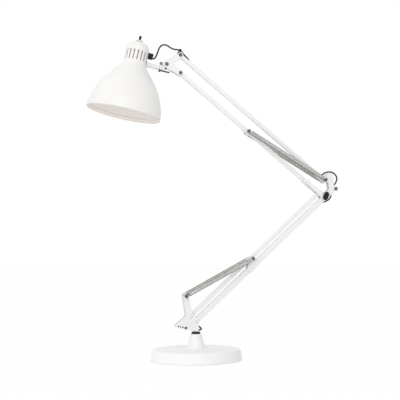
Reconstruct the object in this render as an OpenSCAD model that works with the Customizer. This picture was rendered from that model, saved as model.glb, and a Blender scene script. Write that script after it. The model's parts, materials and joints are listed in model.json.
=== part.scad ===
// Swing arm desk lamp: weighted base, two parallelogram arms with tension springs, tilting shade.
// The arms lie in the XZ plane. The origin is at the middle of the base, on the table.

/* [Base] */
// Diameter of the base
base_d = 220; // [180:1:270]
// Height of the base disc
base_h = 27; // [22:1:36]
// Wall of the base casting
base_wall = 4; // [3:0.5:6]
// Height of the conical hub on the base
hub_h = 36; // [28:1:48]
// Diameter of the hub at its top
hub_top_d = 26; // [22:1:32]
// Diameter of the hub where it meets the disc
hub_root_d = 45; // [38:1:60]

/* [Swivel] */
// Diameter of the spindle that turns in the hub
spindle_d = 12; // [10:0.5:14]
// Bore of the spindle, for the lead
spindle_bore = 6; // [5:0.5:7]
// Diameter of the bush ring on the hub
bush_d = 21; // [19:0.5:24]
// Height of the bush ring
bush_h = 4.5; // [3:0.5:6]

/* [Bracket] */
// Height of the arm pivot above the bush ring
pivot_rise = 25.5; // [24:0.5:32]
// Offset of the arm pivot from the swivel axis
pivot_x = -1; // [-4:0.5:4]
// Thickness of a bracket cheek
cheek_t = 2; // [1.5:0.25:3]
// Reach of the spring pin behind the arm pivot
lever_back = 24; // [20:0.5:30]
// Height of the spring pin above the arm pivot
lever_rise = 61; // [52:0.5:72]

/* [Lower arm] */
// Distance between the pivots of the lower arm
lower_len = 440; // [360:1:520]
// Side of the square main tube
main_tube = 13; // [13:0.5:15]
// Rest angle of the lower arm above the horizontal
lower_angle = 42; // [35:1:55]
// Distance of the link pivot behind the arm pivot
link_back = 13; // [12:0.5:15]
// Height of the link pivot above the arm pivot
link_rise = 11.5; // [10:0.5:14]
// Distance from the arm pivot to the lower saddle pins, along the arm
lower_saddle_x = 203; // [160:1:240]

/* [Upper arm] */
// Distance between the pivots of the upper arm
upper_len = 467; // [380:1:560]
// Side of the square thin tubes
thin_tube = 9.5; // [9:0.5:11]
// Wall of the tubes
tube_wall = 1.2; // [0.8:0.1:1.5]
// Rest angle of the upper arm above the horizontal
upper_angle = 40; // [30:1:50]
// Vertical distance between the two pivots of the upper arm
upper_gap = 43; // [40:0.5:48]
// Distance from the elbow to the upper saddle pins, along the arm
upper_saddle_x = 251; // [200:1:300]

/* [Springs] */
// Outer diameter of a spring
spring_d = 10.5; // [9:0.5:12]
// Diameter of the spring wire
spring_wire = 1.6; // [1.2:0.1:2]
// Distance of each spring from the middle plane
spring_y = 17.5; // [17:0.5:22]

/* [Head] */
// Horizontal reach from the arm's end pivots to the tilt pivot
head_reach = 33.5; // [28:0.5:42]
// Tilt of the shade from the vertical
shade_tilt = 13; // [8:1:30]
// Distance from the tilt pivot to the shade's axis
shade_reach = 75; // [72:0.5:90]
// Drop of the stem's axis under the tilt pivot
stem_drop = 12.4; // [12:0.1:15]
// Diameter of the stem
stem_d = 10.5; // [9:0.5:12]

/* [Shade] */
// Diameter of the shade's mouth
shade_d = 178; // [150:1:210]
// Height of the shade
shade_h = 177; // [165:1:200]
// Diameter of the shade's neck
neck_d = 55; // [52:1:60]
// Wall of the spun shade
shade_wall = 1.2; // [1:0.1:2]
// Number of vent slots round the neck
slot_count = 18; // [12:1:22]
// Width of a vent slot
slot_w = 3; // [2:0.25:4]
// Length of a vent slot
slot_len = 24.5; // [18:0.5:27]

/* [Fasteners and lead] */
// Diameter of the pivot bolts
bolt_d = 6; // [5:0.5:6]
// Diameter of a bolt head
bolt_head_d = 9.5; // [8:0.5:11]
// Height of a bolt head
bolt_head_h = 3; // [2:0.25:4]
// Diameter of the lead
lead_d = 3.6; // [3:0.1:3.8]

/* [Hidden] */
$fn = 64;

fit = 0.1;          // on a diameter, a running fit on a pin
play = 0.5;         // between flat faces of parts that turn on each other
seat = 0.3;         // between parts that rest on each other
tilt_drop = 1.2;    // the tilt pivot is this far under the middle of the arm's end pivots

paint = "white";
steel = "dimgray";
black = "black";

// Heights and pivots
hub_top = base_h + hub_h;
foot_z = hub_top + bush_h + seat;
foot_top = foot_z + 2.2;        // top of the spindle's flange, under the bracket
pivot_z = hub_top + bush_h + pivot_rise;
elbow_x = pivot_x + lower_len * cos(lower_angle);
elbow_z = pivot_z + lower_len * sin(lower_angle);
head_x = elbow_x - upper_len * cos(upper_angle);
head_z = elbow_z + upper_len * sin(upper_angle);
tilt_x = head_x - head_reach;
tilt_z = head_z + upper_gap / 2 - tilt_drop;

// Layers across the middle plane, as distances from it
bracket_in = main_tube / 2 + play;
bracket_out = bracket_in + cheek_t;
ear_in = main_tube / 2 + seat;
elbow_in = main_tube / 2 + play;
elbow_out = elbow_in + cheek_t;
fork_t = 1.5;
fork_in = elbow_out + 0.4;
fork_out = fork_in + fork_t;
head_in = thin_tube / 2 + play;
head_out = head_in + cheek_t;
saddle_t = 1.6;

// Frames of the bodies
module at_pivot() { translate([pivot_x, 0, pivot_z]) children(); }
module at_lower() { at_pivot() rotate([0, -lower_angle, 0]) children(); }
module at_link() { at_pivot() translate([-link_back, 0, link_rise]) rotate([0, -lower_angle, 0]) children(); }
module at_elbow() { translate([elbow_x, 0, elbow_z]) children(); }
module at_lower_side() { at_elbow() rotate([0, upper_angle, 0]) mirror([1, 0, 0]) children(); }
module at_upper() { translate([0, 0, upper_gap]) at_lower_side() children(); }
module at_head() { translate([tilt_x, 0, tilt_z]) children(); }
module at_shade() {
    at_head() rotate([0, shade_tilt, 0]) translate([-shade_reach, 0, -stem_drop]) children();
}

// A cylinder across the middle plane, from y0 to y1, at x and z
module across(d, y0, y1, x = 0, z = 0) {
    translate([x, y1, z]) rotate([90, 0, 0]) cylinder(d = d, h = y1 - y0);
}

// The same on side s (1 or -1), between |y| = near and far
module side_across(d, s, near, far, x = 0, z = 0) {
    across(d, s > 0 ? near : -far, s > 0 ? far : -near, x, z);
}

// A flat plate standing in the XZ plane, from y0 to y1
module plate(y0, y1) {
    translate([0, y1, 0]) rotate([90, 0, 0]) linear_extrude(height = y1 - y0) children();
}

// The same on side s, between |y| = near and far
module side_plate(s, near, far) {
    plate(s > 0 ? near : -far, s > 0 ? far : -near) children();
}

// Round-ended strip between two circles [x, z, r]
module strip(a, b) {
    hull() {
        translate([a[0], a[1]]) circle(r = a[2], $fn = 32);
        translate([b[0], b[1]]) circle(r = b[2], $fn = 32);
    }
}

// A bolt across the middle plane, its head under y = -front and its nut over y = back
module bolt(front, back, x = 0, z = 0, head_d = bolt_head_d) {
    across(bolt_d, -front, back, x, z);
    across(head_d, -front - bolt_head_h, -front, x, z);
    across(head_d, back, back + bolt_head_h, x, z);
}

// Collars on a bolt, between a tube and the plates either side of it
module collars(tube, far, x, z) {
    for (s = [-1, 1]) side_across(bolt_head_d, s, tube / 2 + seat, far, x, z);
}

// Square with round corners
module round_square(side, r) {
    square([side - 2 * r, side], center = true);
    square([side, side - 2 * r], center = true);
    for (x = [-1, 1], y = [-1, 1]) translate([x, y] * (side / 2 - r)) circle(r = r);
}

// Square tube along +X from x0 to x1
module square_tube(side, x0, x1) {
    translate([x0, 0, 0]) rotate([90, 0, 90]) linear_extrude(height = x1 - x0) difference() {
        round_square(side, 1.5);
        square(side - 2 * tube_wall, center = true);
    }
}

// Points of a smooth curve through a route, with n points a stretch
function spline(p, n) = [
    for (i = [0:len(p) - 2], k = [0:n - 1])
        let (a = p[max(i - 1, 0)], b = p[i], c = p[i + 1], d = p[min(i + 2, len(p) - 1)], t = k / n)
        0.5 * (2 * b + (c - a) * t + (2 * a - 5 * b + 4 * c - d) * t * t
            + (3 * b - a - 3 * c + d) * t * t * t),
    p[len(p) - 1]];
function unit(v) = v / norm(v);

// A lead swept along a route; side is a direction that the route never takes
module sweep(route, d, n, side) {
    p = spline(route, n);
    sides = 8;
    last = len(p) - 1;
    rings = [for (i = [0:last])
        let (t = unit(p[min(i + 1, last)] - p[max(i - 1, 0)]), u = unit(cross(t, side)), w = cross(t, u))
        for (k = [0:sides - 1])
            p[i] + d / 2 * (cos(360 * k / sides) * u + sin(360 * k / sides) * w)];
    faces = concat(
        [for (i = [0:last - 1], k = [0:sides - 1])
            [i * sides + k, i * sides + (k + 1) % sides,
                (i + 1) * sides + (k + 1) % sides, (i + 1) * sides + k]],
        [[for (k = [0:sides - 1]) sides - 1 - k]],
        [[for (k = [0:sides - 1]) last * sides + k]]);
    polyhedron(points = rings, faces = faces);
}

// ---- Base ----

base_top_d = base_d - 8;
edge_r = 5;
rim_z = 0.6;
bore_d = spindle_d + 4;         // hub bore, lined by the bush
outlet_z = 10;
outlet_d = 8;

module base_casting() {
    color(paint) difference() {
        rotate_extrude($fn = 128) difference() {
            union() {
                polygon([[0, rim_z], [base_d / 2 - 1, rim_z], [base_d / 2, rim_z + 1.5],
                    [base_top_d / 2 + 0.3, base_h - edge_r], [base_top_d / 2 - edge_r, base_h], [0, base_h]]);
                translate([base_top_d / 2 - edge_r, base_h - edge_r]) circle(r = edge_r);
                polygon([[0, base_h - 1], [hub_root_d / 2 + 7, base_h - 1], [hub_root_d / 2 + 6, base_h],
                    [hub_root_d / 2 + 1.5, base_h + 1.5], [hub_root_d / 2 - 1.5, base_h + 5],
                    [hub_top_d / 2 + 2.2, hub_top - 9], [hub_top_d / 2 + 0.4, hub_top - 2.5],
                    [hub_top_d / 2 - 1, hub_top], [0, hub_top]]);
            }
            square([base_top_d / 2 - 2 * base_wall, base_h - base_wall]);
        }
        cylinder(d = bore_d + fit, h = hub_top + 1);
        cylinder(d = nut_d + 3, h = hub_top - bush_len);
        translate([0, base_d / 2 + 1, outlet_z]) rotate([90, 0, 0])
            cylinder(d = outlet_d, h = 2 * base_wall + 8);
    }
}

weight_d = base_top_d - 4 * base_wall - 2;
weight_z = 3.2;
weight_top = base_h - base_wall - 0.3;
lead_slot = 12;
module base_weight() {
    color(steel) difference() {
        translate([0, 0, weight_z]) cylinder(d = weight_d, h = weight_top - weight_z, $fn = 128);
        translate([0, 0, 0]) cylinder(d = 40, h = base_h);
        translate([-lead_slot / 2, 0, 0]) cube([lead_slot, base_d, base_h]);
    }
}

pad_h = 2.5;
module base_pad() {
    color(black) cylinder(d = base_top_d - 4 * base_wall - 1, h = pad_h, $fn = 128);
}

bush_len = 30;
module hub_bush() {
    color(black) difference() {
        union() {
            translate([0, 0, hub_top]) cylinder(d = bush_d, h = bush_h);
            translate([0, 0, hub_top - bush_len]) cylinder(d = bore_d, h = bush_len + 1);
        }
        cylinder(d = spindle_d + fit, h = hub_top + 2 * bush_h);
    }
}

// ---- Bracket ----

nut_top = hub_top - bush_len - 0.5;
nut_h = 5;
nut_d = 21;
spindle_end = nut_top - nut_h - 1.5;
web_top = foot_top + 2.6;
module spindle() {
    color(steel) difference() {
        union() {
            translate([0, 0, spindle_end]) cylinder(d = spindle_d, h = foot_z - spindle_end + 1);
            translate([0, 0, foot_z]) cylinder(d = spindle_d + 4, h = foot_top - foot_z);
        }
        translate([0, 0, spindle_end - 1]) cylinder(d = spindle_bore, h = foot_z);
    }
}

module spindle_nut() {
    color(steel) difference() {
        translate([0, 0, nut_top - nut_h]) cylinder(d = nut_d, h = nut_h, $fn = 6);
        cylinder(d = spindle_d, h = hub_top);
    }
}

// Outline circles of a bracket cheek about the arm pivot: [x, z, r]
tail_tip = [-46, -10, 4.5];
tail_mid = [-27, -14, 4.5];
pivot_eye = [0, 0, 7.5];
shoulder = [-15, 8.5, 9];
lever_top = [-lever_back, lever_rise, 6.6];
foot_corner = [2.5, foot_top - pivot_z + 3.5, 3.5];
module cheek_outline() {
    hull() {
        for (c = [tail_tip, tail_mid, foot_corner, pivot_eye, shoulder])
            translate([c[0], c[1]]) circle(r = c[2], $fn = 32);
    }
    strip(shoulder, lever_top);
}

tail_holes = [[-43, -10.5], [-37.5, -12], [-32, -13.3]];
tail_bolt_at = [-25, -15];
tail_bolt_d = 4;
lead_gap = lead_d + 1.4;
module bracket() {
    color(paint) difference() {
        union() {
            at_pivot() for (s = [-1, 1]) side_plate(s, bracket_in, bracket_out) cheek_outline();
            translate([-12, -bracket_in - 0.5, foot_top])
                cube([12 + pivot_x + 5, 2 * bracket_in + 1, web_top - foot_top]);
        }
        at_pivot() {
            across(bolt_d, -20, 20);
            across(bolt_d, -20, 20, -link_back, link_rise);
            across(bolt_d, -20, 20, -lever_back, lever_rise);
            across(tail_bolt_d, -20, 20, tail_bolt_at[0], tail_bolt_at[1]);
            for (h = tail_holes) across(3.5, -20, 20, h[0], h[1]);
        }
        translate([0, 0, foot_z - 1]) cylinder(d = lead_gap, h = 10);
        translate([0, -lead_gap / 2, foot_z - 1]) cube([20, lead_gap, 10]);
    }
}

pin_d = 5;
pin_out = spring_y + 3.2;
pin_cap_d = 8;
pin_cap = 1.8;
module pin_end(s, from, x, z) {
    side_across(pin_d, s, from, pin_out, x, z);
    side_across(pin_cap_d, s, pin_out, pin_out + pin_cap, x, z);
}
// A pin for a pair of springs, thick between two plates |y| = inner to outer
module spring_pin(inner, outer, thick, x, z) {
    across(thick, -inner, inner, x, z);
    across(bolt_d, -outer, outer, x, z);
    for (s = [-1, 1]) pin_end(s, outer, x, z);
}
module lever_pin() {
    color(steel) at_pivot() spring_pin(bracket_in, bracket_out, bolt_head_d, -lever_back, lever_rise);
}
module bracket_bolts() {
    color(steel) at_pivot() {
        bolt(bracket_out, bracket_out);
        bolt(bracket_out, bracket_out, -link_back, link_rise);
        collars(thin_tube, bracket_in, -link_back, link_rise);
        across(tail_bolt_d, -bracket_out, bracket_out, tail_bolt_at[0], tail_bolt_at[1]);
        for (s = [-1, 1])
            side_across(6.5, s, bracket_out, bracket_out + 2, tail_bolt_at[0], tail_bolt_at[1]);
    }
}

// ---- Lower arm ----

tube_over = 8;
foot_exit_x = 5.8;
top_entry_x = lower_len - 10.5;
entry_w = lead_d + 1.4;

// Oblong hole for the lead through the wall at +z of a tube along X, centred at x
module lead_hole(x, half, depth) {
    for (d = [-half, half]) translate([x + d, 0, 0]) cylinder(d = entry_w, h = depth);
    translate([x - half, -entry_w / 2, 0]) cube([2 * half, entry_w, depth]);
}

module lower_tube() {
    color(paint) at_lower() difference() {
        square_tube(main_tube, -tube_over, lower_len + tube_over);
        across(bolt_d + fit, -20, 20);
        across(bolt_d + fit, -20, 20, lower_len);
        mirror([0, 0, 1]) lead_hole(foot_exit_x, 2, main_tube);
        mirror([0, 0, 1]) lead_hole(top_entry_x, 4.5, main_tube);
    }
}
cap_head = 3;
cap_plug = 3.5;
module lower_tube_cap() {
    inside = main_tube - 2 * tube_wall - 0.2;
    color(black) at_lower() {
        translate([lower_len + tube_over, 0, 0]) rotate([90, 0, 90])
            linear_extrude(height = cap_head) round_square(main_tube, 2.5);
        translate([lower_len + tube_over - cap_plug, 0, 0]) rotate([90, 0, 90])
            linear_extrude(height = cap_plug + 0.5) square(inside, center = true);
    }
}

// A saddle: two ears up to the pins, joined by a strap under the tube
module saddle(tube, inner, pin_x, pin_z, back, strap) {
    outer = inner + saddle_t;
    difference() {
        union() {
            for (s = [-1, 1]) side_plate(s, inner, outer) hull() {
                translate([pin_x, pin_z]) circle(r = 5, $fn = 32);
                translate([pin_x - back, -tube / 2 - saddle_t]) square([strap, tube]);
            }
            translate([pin_x - back, -outer, -tube / 2 - saddle_t]) cube([strap, 2 * outer, saddle_t]);
        }
        across(pin_d, -30, 30, pin_x, pin_z);
    }
}
lower_pin_z = 15.4;
module lower_saddle() {
    color(paint) at_lower() saddle(main_tube, ear_in, lower_saddle_x, lower_pin_z, 29, 32);
}
module lower_saddle_pins() {
    color(steel) at_lower() for (s = [-1, 1]) pin_end(s, ear_in, lower_saddle_x, lower_pin_z);
}

module lower_link() {
    color(paint) at_link() difference() {
        square_tube(thin_tube, -6, lower_len + 6);
        across(bolt_d + fit, -20, 20);
        across(bolt_d + fit, -20, 20, lower_len);
    }
}

// ---- Elbow ---- (outline circles about the lower pivot: [x, z, r])

lobe = [14, upper_gap + 6, 10.5];
upper_eye = [0, upper_gap, 8];
waist_top = [15.5, upper_gap, 7];
waist = [18.5, 18, 7];
elbow_tip = [28.5, 21.5, 6.5];
main_eye = [0, 0, 7.5];
link_eye = [-link_back, link_rise, 7];
module elbow_outline() {
    strip(lobe, upper_eye);
    strip(lobe, waist_top);
    strip(waist_top, waist);
    strip(waist, elbow_tip);
    strip(waist, main_eye);
    strip(main_eye, link_eye);
}
module elbow_plate(s) {
    color(paint) at_elbow() difference() {
        side_plate(s, elbow_in, elbow_out) elbow_outline();
        across(bolt_d, -20, 20);
        across(bolt_d, -20, 20, -link_back, link_rise);
        across(bolt_d, -20, 20, 0, upper_gap);
        across(bolt_d, -20, 20, elbow_tip[0], elbow_tip[1]);
    }
}
module elbow_plate_front() { elbow_plate(-1); }
module elbow_plate_rear() { elbow_plate(1); }
module elbow_bolts() {
    color(steel) at_elbow() {
        bolt(fork_out + seat, fork_out + seat);
        across(bolt_d, -elbow_out, elbow_out, -link_back, link_rise);
        collars(thin_tube, elbow_in, -link_back, link_rise);
        bolt(elbow_out, elbow_out, elbow_tip[0], elbow_tip[1]);
        across(bolt_head_d, -elbow_in, elbow_in, elbow_tip[0], elbow_tip[1]);
    }
}
// Covers over the heads of the main elbow bolt
module elbow_caps() {
    color(black) at_elbow() for (s = [-1, 1]) difference() {
        side_plate(s, fork_out + seat, fork_out + seat + bolt_head_h + 1.5) strip([0, 0, 6.5], [3, 7.5, 6]);
        side_across(bolt_head_d, s, fork_out, fork_out + seat + bolt_head_h);
    }
}
module elbow_spring_pin() {
    color(steel) at_elbow() {
        spring_pin(elbow_in, elbow_out, bolt_d, 0, upper_gap);
        collars(thin_tube, elbow_in, 0, upper_gap);
    }
}

// ---- Upper arm ----

low_hole_x = 13;
high_hole_x = upper_len - 25;
module upper_tube() {
    color(paint) at_upper() difference() {
        square_tube(thin_tube, -6, upper_len + 6);
        across(bolt_d + fit, -20, 20);
        across(bolt_d + fit, -20, 20, upper_len);
        lead_hole(low_hole_x, 3, thin_tube);
        lead_hole(high_hole_x, 4, thin_tube);
    }
}

fork_len = 56;
fork_lap = 14;
rivet_d = 4;
module upper_link() {
    color(paint) at_lower_side() difference() {
        square_tube(thin_tube, fork_len, upper_len + 6);
        across(bolt_d + fit, -20, 20, upper_len);
        across(rivet_d, -20, 20, fork_len + fork_lap / 2);
        across(pin_d, -20, 20, upper_saddle_x, upper_pin_z);
    }
}
module upper_link_fork() {
    color(paint) at_lower_side() difference() {
        union() {
            for (s = [-1, 1]) {
                side_plate(s, fork_in, fork_out)
                    strip([0, 0, thin_tube / 2], [fork_len + fork_lap - 5, 0, thin_tube / 2]);
                translate([fork_len, s > 0 ? thin_tube / 2 : -fork_out, -thin_tube / 2 + 0.5])
                    cube([fork_lap, fork_out - thin_tube / 2, thin_tube - 1]);
                side_across(7, s, fork_out, fork_out + 1.2, fork_len + fork_lap / 2);
            }
            across(rivet_d, -fork_out, fork_out, fork_len + fork_lap / 2);
        }
        across(bolt_d + fit, -20, 20);
    }
}
upper_pin_z = -0.8;
module upper_saddle() {
    color(paint) at_lower_side() saddle(thin_tube, thin_tube / 2 + 0.1, upper_saddle_x, upper_pin_z, 8, 22);
}
module upper_saddle_pins() {
    color(steel) at_lower_side() {
        across(pin_d, -ear_in, ear_in, upper_saddle_x, upper_pin_z);
        for (s = [-1, 1]) pin_end(s, ear_in, upper_saddle_x, upper_pin_z);
    }
}

// ---- Head bracket and knuckle ----

top_eye = [head_reach, upper_gap / 2 + tilt_drop, 7];
low_eye = [head_reach, -upper_gap / 2 + tilt_drop, 7];
tilt_eye = [0, 0, 8.5];
clip_t = 1.2;
module head_plate(s) {
    color(paint) at_head() difference() {
        side_plate(s, head_in, head_out) {
            strip(tilt_eye, top_eye);
            strip(tilt_eye, low_eye);
        }
        across(bolt_d, -20, 20);
        across(bolt_d, -20, 20, top_eye[0], top_eye[1]);
        across(bolt_d, -20, 20, low_eye[0], low_eye[1]);
    }
}
module head_plate_front() { head_plate(-1); }
module head_plate_rear() { head_plate(1); }
module head_bolts() {
    color(steel) at_head() {
        bolt(head_out + clip_t, head_out, top_eye[0], top_eye[1]);
        bolt(head_out, head_out, low_eye[0], low_eye[1]);
    }
}

// The knuckle's frame: x along the stem, the origin on the tilt pivot
module at_knuckle() { at_head() rotate([0, shade_tilt, 0]) children(); }
spigot_d = stem_d - 2.5;
tongue_w = thin_tube;
clamp_x = -14.5;
clamp_len = 5;
clamp_w = 18;
clamp_split = stem_drop + 1.2;
clamp_screw_d = 2.5;
clamp_screw_y = 6.7;
module clamp_bores() {
    across(bolt_d + fit, -20, 20);
    translate([clamp_x - 5, 0, -stem_drop]) rotate([0, 90, 0]) cylinder(d = spigot_d + fit, h = 40);
    for (s = [-1, 1]) translate([clamp_x + clamp_len / 2, s * clamp_screw_y, -30])
        cylinder(d = clamp_screw_d, h = 40);
}
module knuckle() {
    color(paint) at_knuckle() difference() {
        union() {
            across(15, -tongue_w / 2, tongue_w / 2);
            translate([clamp_x, -tongue_w / 2, -clamp_split]) cube([26, tongue_w, 7.5]);
            translate([-7.5, -tongue_w / 2, -clamp_split]) cube([15, tongue_w, clamp_split]);
            translate([clamp_x, -clamp_w / 2, -clamp_split]) cube([clamp_len, clamp_w, 7.5]);
        }
        clamp_bores();
    }
}
lower_half_h = 5;
module knuckle_base() {
    color(black) at_knuckle() difference() {
        union() {
            translate([clamp_x, -tongue_w / 2, -clamp_split - lower_half_h])
                cube([26, tongue_w, lower_half_h - 0.1]);
            translate([clamp_x, -clamp_w / 2, -clamp_split - lower_half_h])
                cube([clamp_len, clamp_w, lower_half_h - 0.1]);
        }
        clamp_bores();
    }
}
module clamp_screws() {
    color(steel) at_knuckle() for (s = [-1, 1]) translate([clamp_x + clamp_len / 2, s * clamp_screw_y, 0]) {
        translate([0, 0, -clamp_split - lower_half_h]) cylinder(d = clamp_screw_d, h = lower_half_h + 7.5);
        translate([0, 0, 7.5 - clamp_split]) cylinder(d = 4.6, h = 2.4);
        translate([0, 0, -clamp_split - lower_half_h - 1.8]) cylinder(d = 4.8, h = 1.8, $fn = 6);
    }
}
module tilt_bolt() {
    color(steel) at_head() {
        across(bolt_d, -head_out - seat, head_out + 12);
        across(bolt_head_d, -head_out - seat - bolt_head_h, -head_out - seat);
        across(9, head_out + seat, head_out + 8);
        for (s = [-1, 1]) rotate([0, 25, 0]) translate([s * 8, head_out + 6.5, 0])
            cube([13, 2.2, 7], center = true);
    }
}

// P-clip that carries the lead over the arm's end
clip_rise = 12;
clip_len = 5;
clip_lean = 20;
module cord_clip() {
    color(black) at_head() translate([top_eye[0], 0, top_eye[1]]) difference() {
        union() {
            side_plate(-1, head_out, head_out + clip_t) strip([0, 0, 4.6], [0, clip_rise, 2.5]);
            translate([-clip_len / 2, -head_out - clip_t, clip_rise - 1])
                cube([clip_len, head_out + clip_t, 2]);
            translate([0, 0, clip_rise]) rotate([0, 90 + clip_lean, 0])
                cylinder(d = lead_d + 3.4, h = clip_len, center = true);
        }
        translate([0, 0, clip_rise]) rotate([0, 90 + clip_lean, 0])
            cylinder(d = lead_d + 1, h = 2 * clip_len, center = true);
        across(bolt_d, -20, 20);
    }
}

// ---- Shade ---- (frame: origin where the stem's axis meets the shade's axis)

crown_z = 48.7;                 // crown above the stem's axis
neck_r = neck_d / 2;
mouth_r = shade_d / 2;
mouth_z = crown_z - shade_h;
// Outer profile under the crown: [radius, depth below the crown]
shade_profile = [[6, 0], [14, 1.4], [20, 4.2], [24, 8], [26.6, 12.8], [neck_r, 18], [neck_r, 30],
    [neck_r, 46], [neck_r + 1.1, 54], [neck_r + 4, 61], [neck_r + 9.5, 68], [neck_r + 16, 76],
    [neck_r + 22.5, 84], [neck_r + 29.3, 92], [neck_r + 36, 101], [neck_r + 41.5, 110],
    [mouth_r - 15, 120], [mouth_r - 10, 131], [mouth_r - 5.7, 143], [mouth_r - 2.4, 155],
    [mouth_r - 0.6, 166], [mouth_r, shade_h]];
// The shade is cut across at two rows of the profile into three nodes, so that each has its own
// collision shapes
shade_rows = [0, 9, 15, len(shade_profile) - 1];
module shade_band(k) {
    skin = spline(shade_profile, 3);
    outer = [for (i = [3 * shade_rows[k] : 3 * shade_rows[k + 1]]) skin[i]];
    lining = [for (q = outer) [max(q[0] - shade_wall, 0),
        min(q[1] + (q[1] < 60 ? shade_wall : shade_wall * 0.4), shade_h)]];
    last = len(lining) - 1;
    rotate_extrude($fn = 128) polygon([for (q = concat(k == 0 ? [[0, 0]] : [], outer,
        [for (i = [0 : last]) lining[last - i]], k == 0 ? [[0, shade_wall]] : [])) [q[0], crown_z - q[1]]]);
}
module shade_neck() {
    color(paint) at_shade() difference() {
        shade_band(0);
        for (k = [0:slot_count - 1]) if (abs(slot_angle(k)) > 15) rotate([0, 0, slot_angle(k)]) vent_slot();
        cylinder(d = 12, h = crown_z + 5);
        rotate([0, 90, 0]) cylinder(d = spigot_d, h = neck_d);
        translate([0, 0, grip_z]) rotate([0, 90, 0]) cylinder(d = lead_d + 2, h = neck_d);
    }
}
module shade_shoulder() { color(paint) at_shade() shade_band(1); }
module shade_bell() { color(paint) at_shade() shade_band(2); }
slot_top = crown_z - 23.5;
function slot_angle(k) = (k + 0.5) * 360 / slot_count - 180;
module vent_slot() {
    translate([neck_r - 8, 0, slot_top - slot_w / 2]) rotate([0, 90, 0]) cylinder(d = slot_w, h = 12);
    translate([neck_r - 8, 0, slot_top - slot_len + slot_w / 2]) rotate([0, 90, 0])
        cylinder(d = slot_w, h = 12);
    translate([neck_r - 8, -slot_w / 2, slot_top - slot_len + slot_w / 2])
        cube([12, slot_w, slot_len - slot_w]);
}

stem_end = shade_reach + 8;
stem_step = shade_reach + clamp_x - seat;
module stem() {
    color(paint) at_shade() rotate([0, 90, 0]) rotate_extrude()
        polygon([[0, neck_r - 5], [spigot_d / 2, neck_r - 5], [spigot_d / 2, neck_r + 0.1], [9, neck_r + 0.1],
            [7.4, neck_r + 1.6], [stem_d / 2 + 0.6, neck_r + 4.5], [stem_d / 2, neck_r + 9],
            [stem_d / 2, stem_step], [spigot_d / 2, stem_step], [spigot_d / 2, stem_end], [0, stem_end]]);
}
module stem_nut() {
    color(steel) at_shade() rotate([0, 90, 0]) difference() {
        translate([0, 0, neck_r - 5]) cylinder(d = 14, h = 3.4, $fn = 6);
        cylinder(d = spigot_d, h = neck_d);
    }
}

holder_top = crown_z - 13.4;
holder_len = 46;
module lampholder() {
    color(paint) at_shade() difference() {
        union() {
            translate([0, 0, holder_top - holder_len]) cylinder(d = 38, h = holder_len - 8);
            translate([0, 0, holder_top - 9]) cylinder(d1 = 38, d2 = 26, h = 9);
        }
        translate([0, 0, holder_top - holder_len - 1]) cylinder(d = 27.5, h = 30);
    }
}
bulb_d = 45;
bulb_z = holder_top - holder_len - 38;
module bulb() {
    color("ivory") at_shade() {
        translate([0, 0, bulb_z]) sphere(d = bulb_d);
        translate([0, 0, bulb_z + 10]) cylinder(d1 = 40, d2 = 26, h = 26);
        translate([0, 0, bulb_z + 34]) cylinder(d = 26, h = 28);
    }
}
module switch_body() {
    color(black) at_shade() {
        translate([0, 0, crown_z - shade_wall - 12]) cylinder(d = 20, h = 10);
        difference() {
            translate([0, 0, crown_z - 4]) cylinder(d = 11.5, h = 8);
            translate([0, 0, crown_z + 0.5]) cylinder(d = 8, h = 6);
        }
    }
}
module switch_nut() {
    color(steel) at_shade() difference() {
        union() {
            translate([0, 0, crown_z + 0.1]) cylinder(d = 18, h = 1.2);
            translate([0, 0, crown_z + 1.2]) cylinder(d = 15.5, h = 2.4, $fn = 6);
        }
        cylinder(d = 11.6, h = crown_z + 8);
    }
}
switch_lean = 12;
lever_pivot_z = crown_z + 2.6;
module switch_lever() {
    color(black) at_shade() translate([0, 0, lever_pivot_z]) rotate([switch_lean, 0, 0]) {
        cylinder(d1 = 3, d2 = 6, h = 12);
        translate([0, 0, 12]) sphere(d = 6);
        sphere(d = 3.6);
    }
}

grip_z = crown_z - 27.3;
grip_h = 13.5;
grip_w = 12;
grip_end = neck_r + 12;
module cord_grip() {
    color(black) at_shade() difference() {
        union() {
            translate([neck_r - 0.6, -grip_w / 2, grip_z - grip_h / 2])
                cube([grip_end - neck_r + 0.6, grip_w, grip_h]);
            translate([neck_r - 3, 0, grip_z]) rotate([0, 90, 0]) cylinder(d = lead_d + 2, h = 4);
        }
        difference() {
            cylinder(r = neck_r + 0.05, h = 100, center = true, $fn = 128);
            translate([0, 0, grip_z]) rotate([0, 90, 0]) cylinder(d = lead_d + 2, h = neck_d);
        }
    }
}

// ---- Lead ---- (routes in the base frame, in millimetres)

head_shade_route = [[-98, 0, 720.2], [-95, 0, 721], [-91.4, 0, 724.6], [-88, 0, 731], [-84.3, 0, 741],
    [-81, 0, 748.2]];
head_mid_route = [[-80.5, 0, 748.9], [-76, 0, 753.6], [-69.5, 0, 755.2], [-63.6, 0, 754.2]];
head_arm_route = [[-63, 0, 754], [-55, 0, 749], [-46, 0, 745.2], [-38, 0, 744.4], [-31.7, 0, 742.6],
    [-26.5, 0, 738.4], [-21.4, 0, 732.4], [-15.4, 0, 726.2], [-10.9, 0, 720.6], [-9, 0, 715.4],
    [-6.6, 0, 709.7]];
elbow_high_route = [[312.4, 0, 441.9], [316.4, 0, 440.4], [320.2, 0, 441.6], [325, 0, 445.6],
    [330.5, 0, 448.6], [338, 0, 450.6], [345, 0, 450.4]];
elbow_low_route = [[345.6, 0, 450.3], [348.6, 0, 449.9], [354, 0, 446.6], [359.6, 0, 439], [360, 0, 430],
    [354.6, 0, 420.4], [346.4, 0, 411.4], [343.8, 0, 401.8],
    [344.6, 0, 392.4], [340, 0, 383.6], [331, 0, 378.4],
    [324.5, 0, 376.4], [319.5, 0, 375.2], [315.2, 0, 374.6], [309.8, 0, 373]];
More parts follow.
